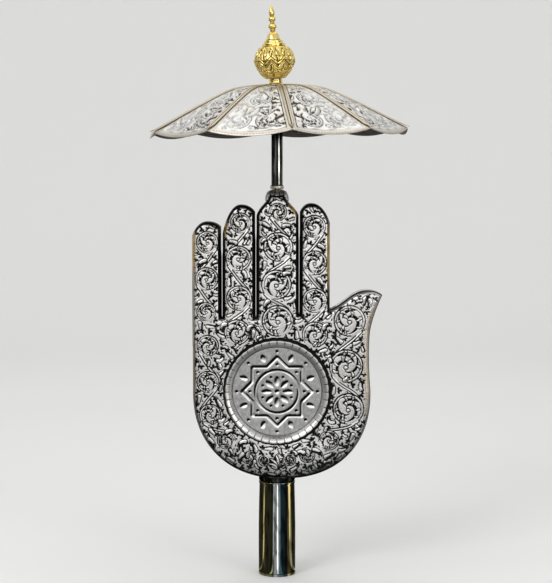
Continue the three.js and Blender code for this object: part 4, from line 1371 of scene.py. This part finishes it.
finial_frame = leaning(FINIAL_LEAN)
foot_low = CROWN_HEIGHT + CROWN_DISC + TURN_FIT
foot_top = foot_low + FOOT_HEIGHT
shoulder_low = BALL_EQUATOR + BALL_UPPER * math.sqrt(1 - (SHOULDER_RADIUS / BALL_RADIUS) ** 2)
ball_low = foot_top + FIT
ball_high = BALL_EQUATOR + BALL_UPPER * 0.985


def ball_radius(height, inset=0.0):
    half = np.where(height > BALL_EQUATOR, BALL_UPPER, BALL_LOWER) - inset
    share = (height - BALL_EQUATOR) / half
    return (BALL_RADIUS - inset) * np.sqrt(unit(1 - share * share))


def bowl_radius(height, inset=0.0):
    """The ball as it shows: full up to its shoulder, and drawn in a little towards the foot."""
    under = unit((BALL_EQUATOR - height) / BALL_LOWER)
    over = unit((height - BALL_EQUATOR) / BALL_UPPER) * (height < shoulder_low - 0.3)
    return ball_radius(height, inset) * (1 - 0.21 * under + 0.9 * over ** 6)


def ball_relief():
    """The ball's ornament: a chevron band round the middle, leaves above it and lobes below."""
    girth = TAU * BALL_RADIUS
    relief = Relief((-6, ball_low - 3), (girth + 6, ball_high + 3), 0.2, 0.0, BALL_INK)
    count = 9
    step = girth / count
    for k in range(-1, count + 1):
        low, mid = step * k, step * (k + 0.5)
        relief.stroke([(low, 31.4), (mid, 36.8), (low + step, 31.4)], 0.7, rise=0.5, line=0.6)
        relief.stroke([(low, 28.6), (mid, 34), (low + step, 28.6)], 0.3, rise=0.4, line=0.5)
        for sway in (-1, 1):
            relief.lobe(low, 34.4, UP - sway * 0.7, 5.4, sway * 1.3, 0.24)
            relief.lobe(mid, 31, -UP + sway * 0.75, 5.6, -sway * 1.2, 0.24)
            relief.lobe(low, 26.6, -UP + sway * 0.5, 5, sway * 1.1, 0.24)
            relief.lobe(mid, 38.6, UP + sway * 0.6, 5, -sway * 1.2, 0.24)
        relief.leaf(low, 39.2, UP, 6.6, 0.2, 0.26)
        relief.leaf(mid, 26.4, -UP, 6, 0.2, 0.26)
        relief.trefoil(low, 31.6, -UP, 2.6)
        relief.trefoil(mid, 44.2, UP, 2.4)
    return relief


def ball_half(name, node, low, high, inner_low, inner_high, relief):
    count = 260
    inner_rows = 12
    rows = np.linspace(low, high, int((high - low) / 0.4))
    girth, level = np.meshgrid(BALL_RADIUS * np.arange(count) * TAU / count, rows)
    height = relief.sample(relief.height, girth, level)
    ink_and_shade = relief.sample(relief.ink_and_shade, girth, level)
    on = fade(ball_radius(rows), 8, 11)[:, None]
    inner = np.linspace(inner_high, inner_low, inner_rows)
    inner_radius = np.maximum(bowl_radius(inner, BALL_WALL), INSERT_RADIUS + FIT)
    radii = np.vstack([bowl_radius(rows)[:, None] + (height - 0.1) * on,
                       np.repeat(inner_radius[:, None], count, 1)])
    vertices = revolved(radii, np.append(rows, inner), count)
    marks = {"ink_and_shade": np.vstack([ink_and_shade * on, np.full((inner_rows, count), 0.4)])}
    add_object(name, vertices, grid_faces(len(radii), count), "finial", node, gilt,
               finial_frame, marks, 60)


def on_finial(name, profile, node):
    return turned(name, profile, node, "finial", gilt, finial_frame, radius=0.3)


on_finial("finial_base", [
    (INSERT_RADIUS + FIT, foot_low),
    (FOOT_RADIUS - 0.4, foot_low),
    (FOOT_RADIUS, foot_low + 0.5),
    (FOOT_RADIUS, foot_top - 1.4),
    (FOOT_RADIUS - 0.5, foot_top - 1),
    (FOOT_RADIUS - 0.5, foot_top),
    (INSERT_RADIUS + FIT, foot_top),
], "finial_foot")

embossing = ball_relief()
ball_half("ball_bowl", "ball_lower", ball_low + 0.3, BALL_EQUATOR, ball_low + BALL_WALL,
          BALL_EQUATOR, embossing)
ball_half("ball_lid", "ball_upper", BALL_EQUATOR + FIT, ball_high, BALL_EQUATOR + FIT,
          ball_high - BALL_WALL, embossing)

top = shoulder_low + SHOULDER_HEIGHT
on_finial("stepped_shoulder", [
    (SPIGOT_RADIUS + FIT, shoulder_low + 0.9),
    (SHOULDER_RADIUS, shoulder_low + 0.3),
    (SHOULDER_RADIUS, shoulder_low + 2.6),
    (SHOULDER_RADIUS - 0.5, shoulder_low + 3),
    (SHOULDER_STEP_RADIUS, shoulder_low + 3.2),
    (SHOULDER_STEP_RADIUS, top - 0.5),
    (SHOULDER_STEP_RADIUS - 0.5, top),
    (SPIGOT_RADIUS + FIT, top),
], "finial_shoulder")


def bead(z, half, wide, waist):
    t = np.linspace(-1, 1, 13)
    return [(waist + (wide - waist) * math.sqrt(1 - s * s), z + half * s) for s in t]


def bell_spire():
    """Bell, two beads and a cone, turned from one piece, with dark waists."""
    low = shoulder_low + SHOULDER_HEIGHT + FIT
    spigot_low = BALL_EQUATOR + BALL_UPPER * 0.8
    profile = [
        (0, spigot_low), (SPIGOT_RADIUS, spigot_low), (SPIGOT_RADIUS, low),
        (BELL_RADIUS, low), (BELL_RADIUS, low + 0.9), (BELL_RADIUS * 0.93, low + 2.2),
        (BELL_RADIUS * 0.86, low + 4), (BELL_RADIUS * 0.72, low + 5.8), (BELL_RADIUS * 0.5, low + 7),
        (2.2, low + 7.8), (2.3, low + 9.4), *bead(low + 12.1, 2.3, 3.9, 2.0),
        *bead(low + 18.4, 2, 3.4, 1.7), (1.7, low + 21.4), (2.6, low + 22.6), (2.5, low + 24.8),
        (1.3, low + 28.4), (0, SPIRE_TOP),
    ]
    vertices, faces = turn(eased(profile, 0.25), 96)
    x, y, z = vertices.T
    waist = fade(np.hypot(x, y), 2.75, 2.25) * (z < low + 22)
    # The bell's lowest band, where it sits on the shoulder, is darkened as painted shade
    skirt = fade(z, low + 0.8, low + 0.3)
    add_object("bell_spire", vertices, faces, "finial", "finial_spire", gilt,
               finial_frame, {"ink_and_shade": np.maximum(0.5 * waist, 0.7 * skirt)}, 60)


bell_spire()


# Room, lights and camera

def stage_mesh(name, vertices, faces, look):
    mesh = bpy.data.meshes.new(name)
    mesh.from_pydata(vertices, [], faces)
    mesh.materials.append(look.material)
    return mesh


def backdrop():
    """A round pale floor that sweeps up all round into a low wall."""
    count = 96
    bend = np.linspace(0.1, 1, 10) * math.pi / 2
    radii = FLOOR_RADIUS + SWEEP_RADIUS * np.array([0, *np.sin(bend), 1])
    heights = np.array([0, *(SWEEP_RADIUS * (1 - np.cos(bend))), WALL_TOP])
    vertices = [(0, 0, 0), *revolved(radii, heights, count).tolist()]
    faces = [(0, 1 + k, 1 + (k + 1) % count) for k in range(count)]
    faces += (1 + grid_faces(len(radii), count, rows_close=False)[:, OTHER_WAY]).tolist()
    look = Look("pale_sweep", 0.0)
    look.feed(look.shader, {"Base Color": (0.86, 0.86, 0.85), "Roughness": 0.9, "Specular IOR Level": 0.1})
    mesh = stage_mesh("sweep", vertices, faces, look)
    mesh.polygons.foreach_set("use_smooth", np.ones(len(mesh.polygons), bool))
    item = new_item("sweep", mesh)


def around(azimuth, distance, height):
    """A place round the object: azimuth 0 is in front, and 90 on the thumb's side."""
    angle = math.radians(azimuth)
    at = Matrix.Translation((distance * math.sin(angle), -distance * math.cos(angle), height))
    return at @ Matrix.Rotation(angle, 4, "Z")


def lamp(name, azimuth, distance, height, width, length, power, tilt=0.0):
    data = bpy.data.lights.new(name, "AREA")
    data.shape = "RECTANGLE"
    data.size = width
    data.size_y = length
    data.energy = power
    facing = Matrix.Rotation(math.radians(90 - tilt), 4, "X")
    new_item(name, data, around(azimuth, distance, height) @ facing)


def card(name, corners, strength, matrix):
    """A card that only mirrors see, grey or bright, as a studio sets round polished metal."""
    look = Look(name, 0.0)
    look.feed(look.shader, {"Base Color": grey(0), "Specular IOR Level": 0.0,
                            "Emission Color": grey(1), "Emission Strength": strength})
    item = new_item(name, stage_mesh(name, corners, [(0, 1, 2, 3)], look), matrix)
    item.visible_camera = False
    item.visible_diffuse = False
    item.visible_shadow = False
    item.visible_transmission = False


def standing_card(name, azimuth, distance, height, width, length, strength):
    x, z = width / 2, length / 2
    corners = [(-x, 0, -z), (x, 0, -z), (x, 0, z), (-x, 0, z)]
    card(name, corners, strength, around(azimuth, distance, height))


def floor_wedge(name, azimuth, spread, reach, height, strength):
    """A bright card on the floor that runs out from the foot of the socket."""
    a = math.radians(spread)
    corners = [(r * math.sin(side), -r * math.cos(side), 0)
               for r, side in ((0.01, -a), (reach, -a), (reach, a), (0.01, a))]
    matrix = Matrix.Translation((0, 0, height)) @ Matrix.Rotation(math.radians(azimuth), 4, "Z")
    card(name, corners, strength, matrix)


backdrop()
world = bpy.data.worlds.new("studio")
bpy.context.scene.world = world
world.use_nodes = True
background = world.node_tree.nodes["Background"]
background.inputs["Color"].default_value = (1, 1, 1, 1)
background.inputs["Strength"].default_value = WORLD_LIGHT

lamp("key", -38, 1.7, 1.35, 0.8, 0.8, 11, 30)
lamp("fill", 42, 1.8, 0.6, 0.7, 1.2, 7)
lamp("overhead", 0, -0.25, 1.9, 1.7, 1.7, 7, 90)
standing_card("front_card", 0, 2.1, 0.6, 1.1, 1.6, 1.7)
standing_card("left_card", -62, 2.15, 0.5, 2.6, 1.4, 0.1)
standing_card("right_card", 62, 2.15, 0.5, 2.6, 1.4, 0.1)
standing_card("back_card", 180, 2.1, 0.6, 1.1, 1.6, 1.5)
card("floor_card", [(-1.3, -1.5, 0), (1.3, -1.5, 0), (1.3, 1, 0), (-1.3, 1, 0)], 0.1,
     Matrix.Translation((0, 0, 0.002)))
floor_wedge("broad_gleam", -2, 25, 0.6, 0.0025, 0.45)
floor_wedge("left_gleam", -21.5, 3, 0.6, 0.003, 2.4)
floor_wedge("middle_gleam", 3, 3, 0.6, 0.003, 3)
floor_wedge("side_gleam", 88, 9, 0.6, 0.003, 1.4)
floor_wedge("far_gleam", -88, 5, 0.6, 0.003, 1.0)

camera = bpy.data.cameras.new("camera")
camera.sensor_width = SENSOR
camera.lens = SENSOR * FOCAL_PIXELS / PICTURE_HEIGHT
viewer = new_item("camera", camera)
viewer.location = CAMERA_AT
viewer.rotation_euler = (math.radians(90 - CAMERA_DIP), 0, 0)
bpy.context.scene.camera = viewer
bpy.context.scene.view_settings.view_transform = "Standard"

bpy.context.view_layer.update()
